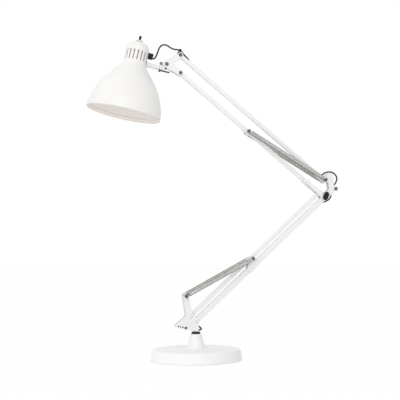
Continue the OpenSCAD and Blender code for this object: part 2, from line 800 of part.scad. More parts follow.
foot_route = [[10.5, 0, 103.4], [8.6, 0, 100.6], [7.4, 0, 96.8], [6.8, 0, 92.4], [5.8, 0, 87.6],
    [5.8, 0, 83.2], [9, 0, 79], [12.8, 0, 75.4], [12, 0, 72.6], [7.6, 0, 72.2], [3.4, 0, 72.8],
    [0.6, 0, 72], [0, 0, 69.9]];
base_route = [[0, 0, 23.7], [0, 1, 18], [0, 6, 12.4], [0, 15, 10], [0, 40, 10], [0, 75, 10], [0, 112, 10]];
mains_route = [[0, 136, 10], [0, 141, 9.7], [0.5, 146, 8.2], [1.8, 151, 5.9], [3.8, 156.5, 3.8],
    [6, 162.5, 2.6], [7.3, 168, 2.6], [7.6, 172, 2.8]];
plug_route = [[15.4, 154.4, 13.6], [9.8, 159.4, 13.4], [3, 163, 12.6], [-5, 164.6, 11.2], [-13, 163.6, 9.6],
    [-20.4, 160, 8.2], [-25, 156.5, 7.4], [-29, 153.4, 7]];

module head_lead_shade() { color(black) sweep(head_shade_route, lead_d, 2, [0, 1, 0]); }
module head_lead_mid() { color(black) sweep(head_mid_route, lead_d, 2, [0, 1, 0]); }
module head_lead_arm() { color(black) sweep(head_arm_route, lead_d, 2, [0, 1, 0]); }
module elbow_lead_high() { color(black) sweep(elbow_high_route, lead_d, 2, [0, 1, 0]); }
module elbow_lead_low() { color(black) sweep(elbow_low_route, lead_d, 2, [0, 1, 0]); }
module foot_lead() { color(black) sweep(foot_route, lead_d, 2, [0, 1, 0]); }
module base_lead() { color(black) sweep(base_route, lead_d, 2, [1, 0, 0]); }

lead_start = 16;
module tube_lead(length) {
    translate([lead_start, 0, 0]) rotate([0, 90, 0]) cylinder(d = lead_d, h = length);
}
module upper_arm_lead() { color(black) at_upper() translate([2.9, 0, 0]) tube_lead(upper_len - 52.9); }
module lower_arm_lead() { color(black) at_lower() tube_lead(lower_len - 39); }
module spindle_lead() {
    color(black) translate([0, 0, 24]) cylinder(d = lead_d, h = 69.6 - 24);
}

module strain_relief() {
    color(black) translate([0, base_d / 2 - 5, outlet_z]) rotate([-90, 0, 0]) difference() {
        union() {
            cylinder(d = outlet_d, h = 6);
            translate([0, 0, 5.3]) cylinder(d = outlet_d + 3, h = 2);
            translate([0, 0, 7]) cylinder(d1 = outlet_d, d2 = lead_d + 1.2, h = 24);
        }
        translate([0, 0, -1]) cylinder(d = lead_d, h = 8);
        translate([0, 0, 30.5]) cylinder(d = lead_d, h = 8);
    }
}
module mains_lead() {
    color(black) {
        sweep(mains_route, lead_d, 2, [0, 0, 1]);
        sweep(plug_route, lead_d, 2, [0, 0, 1]);
    }
}

coil_x = 33;
coil_y = 172;
coil_in = 12.8;
coil_out = 27.2;
coil_h = 14.4;
coil_z = 1;
module lead_coil() {
    color(black) translate([coil_x, coil_y, coil_z]) rotate_extrude($fn = 96)
        translate([coil_in, 0]) square([coil_out - coil_in, coil_h]);
}
tie_w = 9;
tie_t = 1;
module coil_tie() {
    w = coil_out - coil_in + 0.6;
    color(steel) translate([coil_x, coil_y + (coil_in + coil_out) / 2, coil_z + coil_h / 2]) difference() {
        cube([tie_w, w + 2 * tie_t, coil_h + 2 * tie_t], center = true);
        cube([tie_w + 1, w, coil_h + 0.2], center = true);
    }
}
plug_at = [-29, 153.4, 7];
module plug() {
    color(black) translate(plug_at) rotate([0, 0, 217]) {
        rotate([0, 90, 0]) cylinder(d1 = 7, d2 = 11, h = 8);
        translate([8, -9, -7]) cube([24, 18, 14]);
        color(steel) for (s = [-1, 1]) translate([32, s * 6, 0]) rotate([0, 90, 0]) cylinder(d = 4, h = 18);
    }
}

// ---- Springs ---- (frame: origin on the carrier's pin, x along the spring)

eye_r = 4.4;
eye_off = eye_r - spring_wire / 2 - 2.5 - seat;
coil_start = eye_off + eye_r + spring_wire / 2 - 0.2;
lower_far = [lower_saddle_x * cos(lower_angle) - lower_pin_z * sin(lower_angle),
    lower_saddle_x * sin(lower_angle) + lower_pin_z * cos(lower_angle)];
lower_near = [-lever_back, lever_rise];
upper_far = [-upper_saddle_x * cos(upper_angle) + upper_pin_z * sin(upper_angle),
    upper_saddle_x * sin(upper_angle) + upper_pin_z * cos(upper_angle)];
upper_near = [0, upper_gap];
lower_span = norm(lower_far - lower_near);
upper_span = norm(upper_far - upper_near);
lower_slope = atan2(lower_far[1] - lower_near[1], lower_far[0] - lower_near[0]);
upper_slope = atan2(upper_far[1] - upper_near[1], upper_far[0] - upper_near[0]);
eye_share = 0.12;               // share of the spring that belongs to the far eye

module spring_eye() {
    rotate([90, 0, 0]) rotate_extrude() translate([eye_r, 0]) circle(d = spring_wire, $fn = 16);
}
module coil_sleeve(x0, x1) {
    translate([x0, 0, 0]) rotate([0, 90, 0]) difference() {
        cylinder(d = spring_d, h = x1 - x0);
        translate([0, 0, 1]) cylinder(d = spring_d - 2 * spring_wire, h = x1 - x0);
    }
}
module at_lower_spring() {
    at_pivot() translate([lower_near[0], 0, lower_near[1]]) rotate([0, -lower_slope, 0]) children();
}
module at_upper_spring() {
    at_elbow() translate([upper_near[0], 0, upper_near[1]]) rotate([0, -upper_slope, 0]) children();
}
module near_part(span) {
    for (s = [-1, 1]) translate([0, s * spring_y, 0]) {
        translate([eye_off, 0, 0]) spring_eye();
        coil_sleeve(coil_start, span * (1 - eye_share) - 0.1);
    }
}
module far_part(span) {
    for (s = [-1, 1]) translate([0, s * spring_y, 0]) {
        translate([span - eye_off, 0, 0]) spring_eye();
        translate([span, 0, 0]) mirror([1, 0, 0]) coil_sleeve(coil_start, span * eye_share);
    }
}
module lower_springs() { color(steel) at_lower_spring() near_part(lower_span); }
module lower_spring_eyes() { color(steel) at_lower_spring() far_part(lower_span); }
module upper_springs() { color(steel) at_upper_spring() near_part(upper_span); }
module upper_spring_eyes() { color(steel) at_upper_spring() far_part(upper_span); }

base_casting();
base_weight();
base_pad();
hub_bush();
base_lead();
strain_relief();
mains_lead();
lead_coil();
coil_tie();
plug();
bracket();
spindle();
spindle_nut();
lever_pin();
bracket_bolts();
spindle_lead();
lower_tube();
lower_tube_cap();
lower_saddle();
lower_saddle_pins();
lower_arm_lead();
foot_lead();
lower_link();
elbow_plate_front();
elbow_plate_rear();
elbow_bolts();
elbow_caps();
elbow_spring_pin();
elbow_lead_low();
upper_tube();
upper_arm_lead();
elbow_lead_high();
upper_link();
upper_link_fork();
upper_saddle();
upper_saddle_pins();
head_plate_front();
head_plate_rear();
head_bolts();
cord_clip();
head_lead_arm();
knuckle();
knuckle_base();
clamp_screws();
tilt_bolt();
head_lead_mid();
shade_neck();
shade_shoulder();
shade_bell();
stem();
stem_nut();
lampholder();
bulb();
switch_body();
switch_nut();
cord_grip();
head_lead_shade();
switch_lever();
lower_springs();
lower_spring_eyes();
upper_springs();
upper_spring_eyes();
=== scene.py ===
"""Swing arm desk lamp: the visible surfaces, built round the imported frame.

Lengths are in millimetres until mesh_of() turns them into metres. Node trees work in metres.
The arms lie in the XZ plane, and a point is a row (x, y, z).
"""
import json
import math
from contextlib import contextmanager

import bmesh
import bpy
import numpy as np
from mathutils import Matrix, Vector


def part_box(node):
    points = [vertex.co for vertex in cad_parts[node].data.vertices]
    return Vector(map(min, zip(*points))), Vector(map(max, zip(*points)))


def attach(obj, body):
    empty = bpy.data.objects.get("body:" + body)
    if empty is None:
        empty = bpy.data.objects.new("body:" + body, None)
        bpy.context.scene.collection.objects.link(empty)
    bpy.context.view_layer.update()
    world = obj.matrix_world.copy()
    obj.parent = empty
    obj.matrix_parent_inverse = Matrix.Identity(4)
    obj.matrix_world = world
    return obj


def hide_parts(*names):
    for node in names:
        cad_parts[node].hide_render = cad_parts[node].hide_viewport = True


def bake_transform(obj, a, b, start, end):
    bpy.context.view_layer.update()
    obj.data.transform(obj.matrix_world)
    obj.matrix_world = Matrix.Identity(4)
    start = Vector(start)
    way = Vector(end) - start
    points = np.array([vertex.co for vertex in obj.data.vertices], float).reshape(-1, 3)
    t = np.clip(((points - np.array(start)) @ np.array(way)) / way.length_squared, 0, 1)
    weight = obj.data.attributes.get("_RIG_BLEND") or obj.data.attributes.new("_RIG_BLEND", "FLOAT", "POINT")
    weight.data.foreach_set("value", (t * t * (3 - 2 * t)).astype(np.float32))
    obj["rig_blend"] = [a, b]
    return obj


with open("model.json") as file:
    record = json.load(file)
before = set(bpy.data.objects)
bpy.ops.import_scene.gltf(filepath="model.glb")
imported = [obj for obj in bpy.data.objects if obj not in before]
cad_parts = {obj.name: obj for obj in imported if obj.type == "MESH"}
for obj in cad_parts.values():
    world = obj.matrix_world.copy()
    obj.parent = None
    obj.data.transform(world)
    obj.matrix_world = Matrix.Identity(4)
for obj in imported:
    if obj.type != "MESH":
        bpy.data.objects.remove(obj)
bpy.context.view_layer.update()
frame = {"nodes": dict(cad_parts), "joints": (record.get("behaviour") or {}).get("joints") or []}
MM = 0.001
TAU = 2 * math.pi

# ---- Places, read from the record's joints ----

joints = {j["name"]: j for j in frame["joints"]}


def pivot(name):
    """The place of a joint, in millimetres."""
    return np.array(joints[name]["pos_m"]) / MM


LOWER_PIVOT = pivot("lower_arm")
LINK_PIVOT = pivot("lower_link")
ELBOW = pivot("elbow_level")
ELBOW_TOP = pivot("upper_arm")
HEAD_TOP = pivot("head_level")
TILT = pivot("head_tilt")
LOWER_PIN = pivot("lower_spring_turn")
UPPER_GAP = ELBOW_TOP[2] - ELBOW[2]
ACROSS = np.array([0.0, 1.0, 0.0])


def unit(v):
    """v with length 1."""
    return np.asarray(v, float) / np.linalg.norm(v)


class Place:
    """A frame in the XZ plane: an origin, x along a direction, z at right angles to it, and y across the
    lamp. A side of -1 turns z and y the other way."""

    def __init__(self, origin, along, side=1):
        self.origin = np.asarray(origin, float)
        self.x = unit(along)
        self.z = side * unit([-self.x[2], 0, self.x[0]])
        self.y = np.cross(self.z, self.x)

    def put(self, points):
        """Points of this frame in the row frame."""
        p = np.asarray(points, float)
        return self.origin + p[..., :1] * self.x + p[..., 1:2] * self.y + p[..., 2:] * self.z


lower = Place(LOWER_PIVOT, ELBOW - LOWER_PIVOT)
upper = Place(ELBOW_TOP, HEAD_TOP - ELBOW_TOP, side=-1)
stem_way = unit(joints["shade_swivel"]["axis"])
shade = Place(pivot("shade_swivel"), stem_way)


def in_scene(name, data):
    """A new object in the scene that shows the data."""
    made = bpy.data.objects.new(name, data)
    bpy.context.scene.collection.objects.link(made)
    return made


# ---- Camera ----

CAMERA_AT = (-485.3, -2347.5, 281.8)
CAMERA_TURN, CAMERA_TIP, CAMERA_ROLL = map(math.radians, (-12.0, -2.397, -0.66))
CAMERA_LENS, CAMERA_SENSOR = 90, 36


def make_camera():
    """The camera of the studio view. It stands low in front, looks up a little and is slightly rolled."""
    ahead = np.array([-math.sin(CAMERA_TURN) * math.cos(CAMERA_TIP),
                      math.cos(CAMERA_TURN) * math.cos(CAMERA_TIP), -math.sin(CAMERA_TIP)])
    right = unit(np.cross(ahead, [0, 0, 1]))
    up = np.cross(right, ahead)
    c, s = math.cos(CAMERA_ROLL), math.sin(CAMERA_ROLL)
    columns = np.stack([c * right + s * up, c * up - s * right, -ahead], 1)
    data = bpy.data.cameras.new("studio_camera")
    data.lens, data.sensor_width = CAMERA_LENS, CAMERA_SENSOR
    data.clip_start, data.clip_end = 0.05, 60
    camera = in_scene("studio_camera", data)
    whole = np.eye(4)
    whole[:3, :3] = columns
    whole[:3, 3] = np.array(CAMERA_AT) * MM
    camera.matrix_world = Matrix(whole.tolist())
    bpy.context.scene.camera = camera


make_camera()

# ---- Node trees as expressions ----


class Value:
    """An output socket. Arithmetic on it adds Math nodes to its node tree."""

    def __init__(self, nodes, socket):
        self.nodes, self.socket = nodes, socket

    def maths(self, operation, *terms):
        """A Math node of that operation on values and numbers."""
        return self.nodes.node("ShaderNodeMath", dict(operation=operation), dict(enumerate(terms)))

    def __add__(self, other):
        return self.maths("ADD", self, other)

    __radd__ = __add__

    def __sub__(self, other):
        return self.maths("SUBTRACT", self, other)

    def __rsub__(self, other):
        return self.maths("SUBTRACT", other, self)

    def __mul__(self, other):
        return self.maths("MULTIPLY", self, other)

    __rmul__ = __mul__

    def __abs__(self):
        return self.maths("ABSOLUTE", self)

    def at_most(self, most):
        """The value, or most where the value is greater."""
        return self.maths("MINIMUM", self, most)

    def between(self, low, high):
        """0 under low, 1 over high, smooth between."""
        return self.nodes.node("ShaderNodeMapRange", dict(interpolation_type="SMOOTHSTEP"),
                               {0: self, 1: low, 2: high})


class Nodes:
    """A node tree, and the ways to add nodes to it."""

    def __init__(self, tree):
        self.tree = tree

    def feed(self, socket, value):
        """Links a Value, or sets a constant."""
        if isinstance(value, Value):
            self.tree.links.new(value.socket, socket)
        elif socket.type == "RGBA" and len(value) == 3:
            socket.default_value = (*value, 1)
        else:
            socket.default_value = value

    def node(self, kind, settings=None, inputs=None, out=0):
        """A node of that type: its settings, then its inputs, then one of its outputs."""
        made = self.tree.nodes.new(kind)
        for name, value in (settings or {}).items():
            setattr(made, name, value)
        for key, value in (inputs or {}).items():
            self.feed(made.inputs[key], value)
        return Value(self, made.outputs[out])

    def place(self):
        """Object coordinates, in metres."""
        return self.node("ShaderNodeTexCoord", out="Object")

    def noise(self, scale, detail=2.0, roughness=0.5):
        """Smooth noise from 0 to 1, scale bumps to the metre."""
        return self.node("ShaderNodeTexNoise", {}, {"Vector": self.place(), "Scale": scale, "Detail": detail,
                                                    "Roughness": roughness})

    def part(self, axis, vector):
        """One coordinate of a vector: X, Y or Z."""
        return self.node("ShaderNodeSeparateXYZ", {}, {0: vector}, out=axis)

    def mix(self, factor, first, second):
        """A colour between two colours."""
        return self.node("ShaderNodeMix", dict(data_type="RGBA"), {0: factor, 6: first, 7: second}, out=2)


class Finish(Nodes):
    """A material: its Principled shader, and the nodes that vary it."""

    def __init__(self, name, **constants):
        self.material = bpy.data.materials.new(name)
        self.material.use_nodes = True
        super().__init__(self.material.node_tree)
        self.shader = self.tree.nodes["Principled BSDF"]
        for socket, value in constants.items():
            self.shader.inputs[socket.replace("_", " ")].default_value = value

    def paint(self, socket, value):
        """Feeds a socket of the shader."""
        self.feed(self.shader.inputs[socket], value)

    def relief(self, height, depth):
        """Bump of a height that runs from 0 to 1, depth in millimetres."""
        self.paint("Normal", self.node("ShaderNodeBump", {}, {"Height": height, "Distance": depth * MM,
                                                              "Strength": 1.0}))


def enamel(name, colour, dust, roughness=0.36, peel=0.004, painted_shadow=None):
    """Stoved paint: a fine orange peel, faint clouding and a little dust on the faces that look up."""
    f = Finish(name, Coat_Weight=0.06, Coat_Roughness=0.2, Specular_IOR_Level=0.26)
    cloud = f.noise(11, 3).between(0.35, 0.75)
    faces_up = f.part("Z", f.node("ShaderNodeNewGeometry", out="Normal")).between(0.6, 1.0)
    speck = f.noise(260, 3).between(0.56, 0.8)
    grime = (cloud * 0.35 + faces_up * speck * 0.4).between(0.0, 1.0)
    shown = f.mix(grime, colour, dust)
    # Where the painted shadow mask gives a share, the paint darkens towards half the dust colour: painted
    # shade.
    f.paint("Base Color", f.mix(painted_shadow(f), shown, tuple(c * 0.5 for c in dust)) if painted_shadow else shown)
    f.paint("Roughness", roughness + cloud * 0.06 + faces_up * speck * 0.08)
    f.relief(f.noise(600, 2, 0.45), peel)
    return f


def lining_painted_shade(f):
    """Where the lining is darkened, as a share: a painted shadow in a faint line along the top of the hem,
    thicker in patches, and painted shade all over the inside of the neck."""
    height = f.node("ShaderNodeVectorMath", dict(operation="DOT_PRODUCT"), {0: f.place(), 1: tuple(shade.z)},
                    out="Value")
    above = height - float(shade.origin @ shade.z + CROWN - SHADE_H + HEM) * MM
    line = 1.0 - abs(above).between(0.0003, 0.0011)
    neck_shade = (above - (SHADE_H - HEM - NECK_SHADE_DEPTH) * MM).between(-0.006, 0.006)
    # The first term is a painted shadow along the hem's top, the second painted shade inside the neck.
    return line * (0.2 + f.noise(40, 2) * 0.35) + neck_shade * 0.95


def moulded(name, colour, roughness=0.42, grain=0.02, scale=1600, shine=0.2):
    """Moulded plastic or rubber: a fine grain and slightly greyed patches."""
    f = Finish(name, Specular_IOR_Level=shine)
    patch = f.noise(60, 3).between(0.4, 0.8)
    lighter = tuple(c * 1.5 + 0.012 for c in colour)
    f.paint("Base Color", f.mix(patch * 0.5, colour, lighter))
    f.paint("Roughness", roughness + patch * 0.1)
    f.relief(f.noise(scale, 2, 0.6), grain)
    return f


def metal(name, colour, roughness):
    """Metal with a fine, uneven grain, and darker in patches."""
    f = Finish(name, Metallic=1.0)
    marks = f.noise(300, 3, 0.6)
    patch = f.noise(90, 2).between(0.35, 0.8)
    darker = tuple(c * 0.62 for c in colour)
    f.paint("Base Color", f.mix(patch * 0.55, colour, darker))
    f.paint("Roughness", roughness + marks * 0.1 + patch * 0.08)
    f.relief(marks, 0.006)
    return f


def spring_wire(name):
    """Drawn spring wire, darker in patches of old oil, and painted with shade: bright on the crest of each
    turn, dark between the turns and dark along the spring's upper and lower sides. The mesh carries how
    near each point is to a crest and to those sides."""
    f = Finish(name, Metallic=1.0)
    crest, flank = (f.node("ShaderNodeAttribute", dict(attribute_name=layer), out="Fac")
                    for layer in ("crest", "flank"))
    oil = f.noise(70, 3).between(0.35, 0.8)
    bright = f.mix(oil * 0.6, (0.70, 0.685, 0.665), (0.52, 0.50, 0.48))
    dark = (0.13, 0.125, 0.12)
    # Painted shade: darker along the spring's upper and lower sides, and dark between the turns, away from
    # each crest.
    flank_shaded = f.mix(flank.between(0.6, 1.0) * 0.75, bright, dark)
    f.paint("Base Color", f.mix(crest.between(0.25, 0.8), dark, flank_shaded))
    f.paint("Roughness", 0.3 + oil * 0.14)
    return f


# The last number is how far under the crown the painted shade inside the neck reaches.
CROWN, SHADE_H, HEM, NECK_SHADE_DEPTH = 48.7, 177.0, 8.4, 64
FINISHES = {f.material.name: f for f in (
    enamel("shade_paint", (0.79, 0.782, 0.764), (0.765, 0.745, 0.715)),
    # The lining is paler than the outer paint: painted light inside the bell.
    enamel("shade_lining", (0.965, 0.92, 0.885), (0.92, 0.86, 0.82), roughness=0.5, painted_shadow=lining_painted_shade),
    # The rolled rim's paint is darker: painted shade along the mouth's edge.
    enamel("rim_paint", (0.56, 0.525, 0.495), (0.50, 0.46, 0.43), roughness=0.4),
    enamel("arm_paint", (0.785, 0.785, 0.788), (0.755, 0.752, 0.75)),
    enamel("base_paint", (0.825, 0.825, 0.827), (0.79, 0.787, 0.783), peel=0.008),
    moulded("black_plastic", (0.010, 0.010, 0.011)),
    moulded("black_rubber", (0.012, 0.012, 0.012), roughness=0.55, grain=0.035, scale=900),
    moulded("lead_sheath", (0.009, 0.009, 0.010), roughness=0.38, grain=0.012, scale=700),
    metal("black_screw", (0.035, 0.033, 0.032), roughness=0.32),
    metal("dark_nickel", (0.15, 0.147, 0.143), roughness=0.2),
    spring_wire("spring_steel"),
    metal("hook_steel", (0.46, 0.445, 0.43), roughness=0.3),
    metal("plated_steel", (0.60, 0.59, 0.57), roughness=0.24),
    metal("raw_iron", (0.16, 0.155, 0.15), roughness=0.55),
    moulded("lamp_glass", (0.86, 0.85, 0.82), roughness=0.25, grain=0.004, shine=0.5),
    moulded("holder_white", (0.78, 0.775, 0.76), roughness=0.35, grain=0.008, shine=0.5),
    moulded("tie_plastic", (0.72, 0.72, 0.71), roughness=0.4, grain=0.006, shine=0.4),
)}

# ---- Meshes from grids ----


def quads(rows, columns, wrap_rows, wrap_columns):
    """The faces of a grid of points, rows by columns; a wrapped side joins the last line to the first."""
    i = np.arange(rows if wrap_rows else rows - 1)[:, None]
    j = np.arange(columns if wrap_columns else columns - 1)[None, :]
    i2, j2 = (i + 1) % rows, (j + 1) % columns
    corners = (i * columns + j, i2 * columns + j, i2 * columns + j2, i * columns + j2)
    return np.stack(np.broadcast_arrays(*corners), -1).reshape(-1, 4)


@contextmanager
def editing(mesh):
    """A mesh opened for bmesh's tools, and written back at the end."""
    made = bmesh.new()
    made.from_mesh(mesh)
    yield made
    made.to_mesh(mesh)
    made.free()


def weld(made, apart, least):
    """Joins points that lie closer than apart, and drops edges shorter than least. Both are in metres."""
    bmesh.ops.remove_doubles(made, verts=made.verts, dist=apart)
    bmesh.ops.dissolve_degenerate(made, edges=made.edges, dist=least)


def rows_of(parts, name):
    """A vector that each point or face of a mesh holds, as rows."""
    numbers = np.empty(3 * len(parts))
    parts.foreach_get(name, numbers)
    return numbers.reshape(-1, 3)


def mesh_of(name, grids):
    """One mesh from grids, each (points, wrap_rows, wrap_columns). Points at one place become one, and the
    faces of each closed part are turned outwards."""
    points, faces, base = [], [], 0
    for p, wrap_rows, wrap_columns in grids:
        p = np.asarray(p, float)
        points.append(p.reshape(-1, 3) * MM)
        faces.append(quads(p.shape[0], p.shape[1], wrap_rows, wrap_columns) + base)
        base += p.shape[0] * p.shape[1]
    mesh = bpy.data.meshes.new(name)
    mesh.from_pydata(np.concatenate(points), [], np.concatenate(faces))
    with editing(mesh) as made:
        weld(made, 3e-6, 1e-7)
        bmesh.ops.recalc_face_normals(made, faces=made.faces)
    return mesh


def piece(name, shape, finish, body, *nodes, slot=None, angle=32):
    """A visible piece: its mesh or its grids, its finish or finishes, the body it rides on, and the CAD nodes
    it stands for. It is shaded smooth, and edges sharper than angle stay crisp. A piece that bends has two
    bodies, and the two points between which it bends."""
    mesh = shape if isinstance(shape, bpy.types.Mesh) else mesh_of(name, shape)
    made = in_scene(name, mesh)
    mesh.shade_smooth()
    mesh.set_sharp_from_angle(angle=math.radians(angle))
    for f in finish if isinstance(finish, tuple) else (finish,):
        mesh.materials.append(FINISHES[f].material)
    if isinstance(body, str):
        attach(made, body)
    else:
        one, other, start, end = body
        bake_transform(made, one, other, start=tuple(start * MM), end=tuple(end * MM))
    if nodes:
        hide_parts(*nodes)
    return made


def turned(profile, origin, axis, sides, closed=False):
    """A grid: a profile of (radius, distance) rows turned about an axis. A third number in each row, from 0
    to 1, says how far its circle is a hexagon, whose flats lie at radius times cos 30."""
    profile = np.asarray(profile, float)
    axis = unit(axis)
    aside = [0.3, 0.2, 0.9] if abs(axis[2]) < 0.9 else [1, 0, 0]
    u = unit(np.cross(axis, aside))
    v = np.cross(axis, u)
    turn = TAU * np.arange(sides) / sides
    flat = math.cos(math.pi / 6) / np.cos((turn + math.pi / 6) % (math.pi / 3) - math.pi / 6)
    hexed = profile[:, 2:] if profile.shape[1] == 3 else 0
    r = profile[:, :1] * (1 + hexed * (flat - 1))
    ring = np.cos(turn)[:, None] * u + np.sin(turn)[:, None] * v
    grid = np.asarray(origin, float) + r[..., None] * ring + profile[:, 1][:, None, None] * axis
    return grid, closed, True


def curve_through(points, n):
    """A Catmull-Rom curve: n points to each stretch, and the last point."""
    p = np.asarray(points, float)
    padded = np.concatenate([p[:1], p, p[-1:]])
    t = (np.arange(n) / n)[None, :, None]
    a, b, c, d = (padded[k:len(p) - 1 + k, None, :] for k in range(4))
    body = 0.5 * (2 * b + (c - a) * t + (2 * a - 5 * b + 4 * c - d) * t ** 2
                  + (3 * b - a - 3 * c + d) * t ** 3)
    return np.concatenate([body.reshape(-1, p.shape[1]), p[-1:]])


def arc(centre, radius, start, end, n):
    """Points of a profile on an arc, from start to end in degrees."""
    a = np.radians(np.linspace(start, end, n))
    return np.stack([centre[0] + radius * np.cos(a), centre[1] + radius * np.sin(a)], 1)


def each_unit(rows):
    """Each row with length 1."""
    return rows / np.linalg.norm(rows, axis=1)[:, None]


def directions(path):
    """The way that a path runs at each of its points."""
    return each_unit(np.gradient(path, axis=0))


def circles_on(path, spokes, radius, sides):
    """A circle across a path at each of its points, starting at that point's spoke."""
    other = np.cross(directions(path), spokes)
    a = TAU * np.arange(sides)[:, None] / sides
    return path[:, None] + radius * (np.cos(a) * spokes[:, None] + np.sin(a) * other[:, None])


def rings(path, radius, sides, side=ACROSS):
    """Circles carried along a path. The first spoke of each is at right angles to side and to the path,
    so they never twist."""
    return circles_on(path, each_unit(np.cross(directions(path), side)), radius, sides)


def capped(circles):
    """A grid: circles in a row, with each end closed at its middle."""
    ends = [np.repeat(circles[k].mean(0)[None, None], circles.shape[1], 1) for k in (0, -1)]
    return np.concatenate([ends[0], circles, ends[1]]), False, True


def block(place, low, high, r):
    """A grid: a box from low to high in a place's frame, every edge rounded by a quarter circle of radius r.
    Each ring is the box's outline drawn in by r less r sin t, at a height r less r cos t from the end."""
    low, high = np.asarray(low, float), np.asarray(high, float)
    half = (high - low) / 2
    r = min(r, half.min() * 0.98)
    t = np.radians([0, 30, 60, 90])
    t = np.concatenate([t, t[::-1]])
    z = np.where(np.arange(8) < 4, -1, 1) * (half[2] - r + r * np.cos(t))
    corner = np.repeat(np.arange(4), 4)
    a = np.radians(corner * 90 + np.tile([0, 30, 60, 90], 4))
    sx, sy = np.array([1, -1, -1, 1])[corner], np.array([1, 1, -1, -1])[corner]
    x = sx * (half[0] - r) + (r * np.sin(t))[:, None] * np.cos(a)
    y = sy * (half[1] - r) + (r * np.sin(t))[:, None] * np.sin(a)
    grid = np.stack([x, y, z[:, None] + 0 * x], -1) + (low + high) / 2
    return capped(place.put(grid))


FLAT, CREASE = math.radians(0.6), 30


def from_cad(name, node, finish, body, bevel, segments=2):
    """The solid of a CAD node, with its triangles joined into flat faces and its sharp edges rounded."""
    mesh = frame["nodes"][node].data.copy()
    mesh.name = name
    mesh.materials.clear()
    with editing(mesh) as made:
        weld(made, 4e-6, 1e-6)
        bmesh.ops.dissolve_limit(made, angle_limit=FLAT, verts=made.verts, edges=made.edges)
    for layer in list(mesh.attributes):
        if layer.name.startswith("custom_normal"):
            mesh.attributes.remove(layer)
    obj = piece(name, mesh, finish, body, node, angle=CREASE)
    rounding = obj.modifiers.new("rounding", "BEVEL")
    rounding.width, rounding.segments = bevel * MM, segments
    rounding.limit_method, rounding.angle_limit = "ANGLE", math.radians(CREASE)
    rounding.harden_normals = True
    return obj


# ---- Lead to the wall: coil and plug ----

LEAD_R = 1.8
LEAD_EXIT = (0, 136, 10)
COIL_MIDDLE = np.array([33.0, 172.0])
COIL_FIRST_Z = 2.8
TURNS_A_LAYER, LAYERS = 3, 4
COIL_TURNS, CLIMB_TURN = 11.875, 0.25
COIL_IN, COIL_OUT = 14.6, 25.4
POINTS_A_TURN = 24
mains_route = [LEAD_EXIT, (0, 141, 9.7), (0.5, 146, 8.2), (1.8, 151, 5.9), (3.8, 156.5, 3.8),
               (6, 162.5, 2.6), (7.3, 168, 2.6)]
plug_route = [(9.8, 159.4, 13.4), (3, 163, 12.6), (-5, 164.6, 11.2), (-13, 163.6, 9.6),
              (-20.4, 160, 8.2), (-25, 156.5, 7.4), (-29, 153.4, 7)]


def coil_points():
    """Turns wound in layers: the radius runs in on one layer and out on the next, a diameter a turn,
    and the height climbs a diameter in the first quarter turn of each layer."""
    t = np.arange(int(COIL_TURNS * POINTS_A_TURN) + 1) / POINTS_A_TURN
    layer = np.minimum(t // TURNS_A_LAYER, LAYERS - 1)
    share = (t - layer * TURNS_A_LAYER) / TURNS_A_LAYER
    share = np.where(layer % 2 == 0, share, 1 - share)
    r = COIL_OUT - (COIL_OUT - COIL_IN) * share
    climb = np.clip((t - layer * TURNS_A_LAYER) / CLIMB_TURN, 0, 1)
    z = COIL_FIRST_Z + 2 * LEAD_R * np.where(layer > 0, layer - 1 + climb, 0)
    a = math.pi - TAU * t
    return np.stack([COIL_MIDDLE[0] + r * np.cos(a), COIL_MIDDLE[1] + r * np.sin(a), z], 1)


coil = coil_points()
flex_path = np.concatenate([curve_through(mains_route + [tuple(coil[0])], 3)[:-1], coil,
                            curve_through([tuple(coil[-1])] + plug_route, 3)[1:]])
mains_flex = piece("mains_flex", [capped(rings(flex_path, LEAD_R, 8, side=(0.02, 0.03, 1)))], "lead_sheath",
                   "base", "mains_lead", "lead_coil", angle=60)

plug_at = np.array(plug_route[-1], float)
PLUG_TURN = math.radians(217)
plug_way = np.array([math.cos(PLUG_TURN), math.sin(PLUG_TURN), 0])
plug_side = np.array([-plug_way[1], plug_way[0], 0])
PLUG_LEN, PLUG_PIN_OFF = 32, 6


def plug_body():
    """A rounded box section, a superellipse, whose half width and half height change along the plug."""
    rows = [(0, 3.0, 3.0), (1, 3.5, 3.4), (7.4, 5.0, 4.8), (8.2, 6.4, 5.2), (9.2, 8.0, 6.2), (11, 8.8, 6.8),
            (15, 8.95, 6.95), (20, 8.2, 6.6), (26, 8.5, 6.8), (30, 8.9, 6.9), (31.4, 8.6, 6.6),
            (PLUG_LEN, 7.9, 6.0)]
    s, w, h = np.array(rows).T
    a = TAU * np.arange(40) / 40
    power = np.interp(s, [0, 7, 12, PLUG_LEN], [1.0, 1.0, 0.55, 0.5])[:, None]
    y = w[:, None] * np.sign(np.cos(a)) * np.abs(np.cos(a)) ** power
    z = h[:, None] * np.sign(np.sin(a)) * np.abs(np.sin(a)) ** power
    return capped(plug_at + s[:, None, None] * plug_way + y[..., None] * plug_side
                  + z[..., None] * np.array([0, 0, 1]))


def plug_pin(side, first, last, radius):
    """A round pin with a domed tip, from first to last along the plug."""
    root = plug_at + side * PLUG_PIN_OFF * plug_side
    rows = [(0, first), (radius, first), (radius, last - radius * 0.7), (radius * 0.75, last - radius * 0.2),
            (radius * 0.3, last), (0, last)]
    return turned(rows, root, plug_way, 20)


plug = piece("plug_shell", [plug_body(), *(plug_pin(side, 31, 42, 2.0) for side in (-1, 1))], "black_plastic",
             "base", "plug", angle=45)
plug_pins = piece("plug_pins", [plug_pin(side, 41, 50, 1.9) for side in (-1, 1)], "plated_steel", "base",
                  slot="plug", angle=45)
coil_tie = from_cad("coil_tie_band", "coil_tie", "tie_plastic", "base", 0.3)

# ---- Base ----

BASE_BOX = np.array(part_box("base_casting")) / MM
BASE_R = BASE_BOX[1][0]
DISC_TOP = 27.0
HUB_TOP = BASE_BOX[1][2]
HUB_BORE = 8.05
HOLLOW_R, HOLLOW_TOP = 98, 23


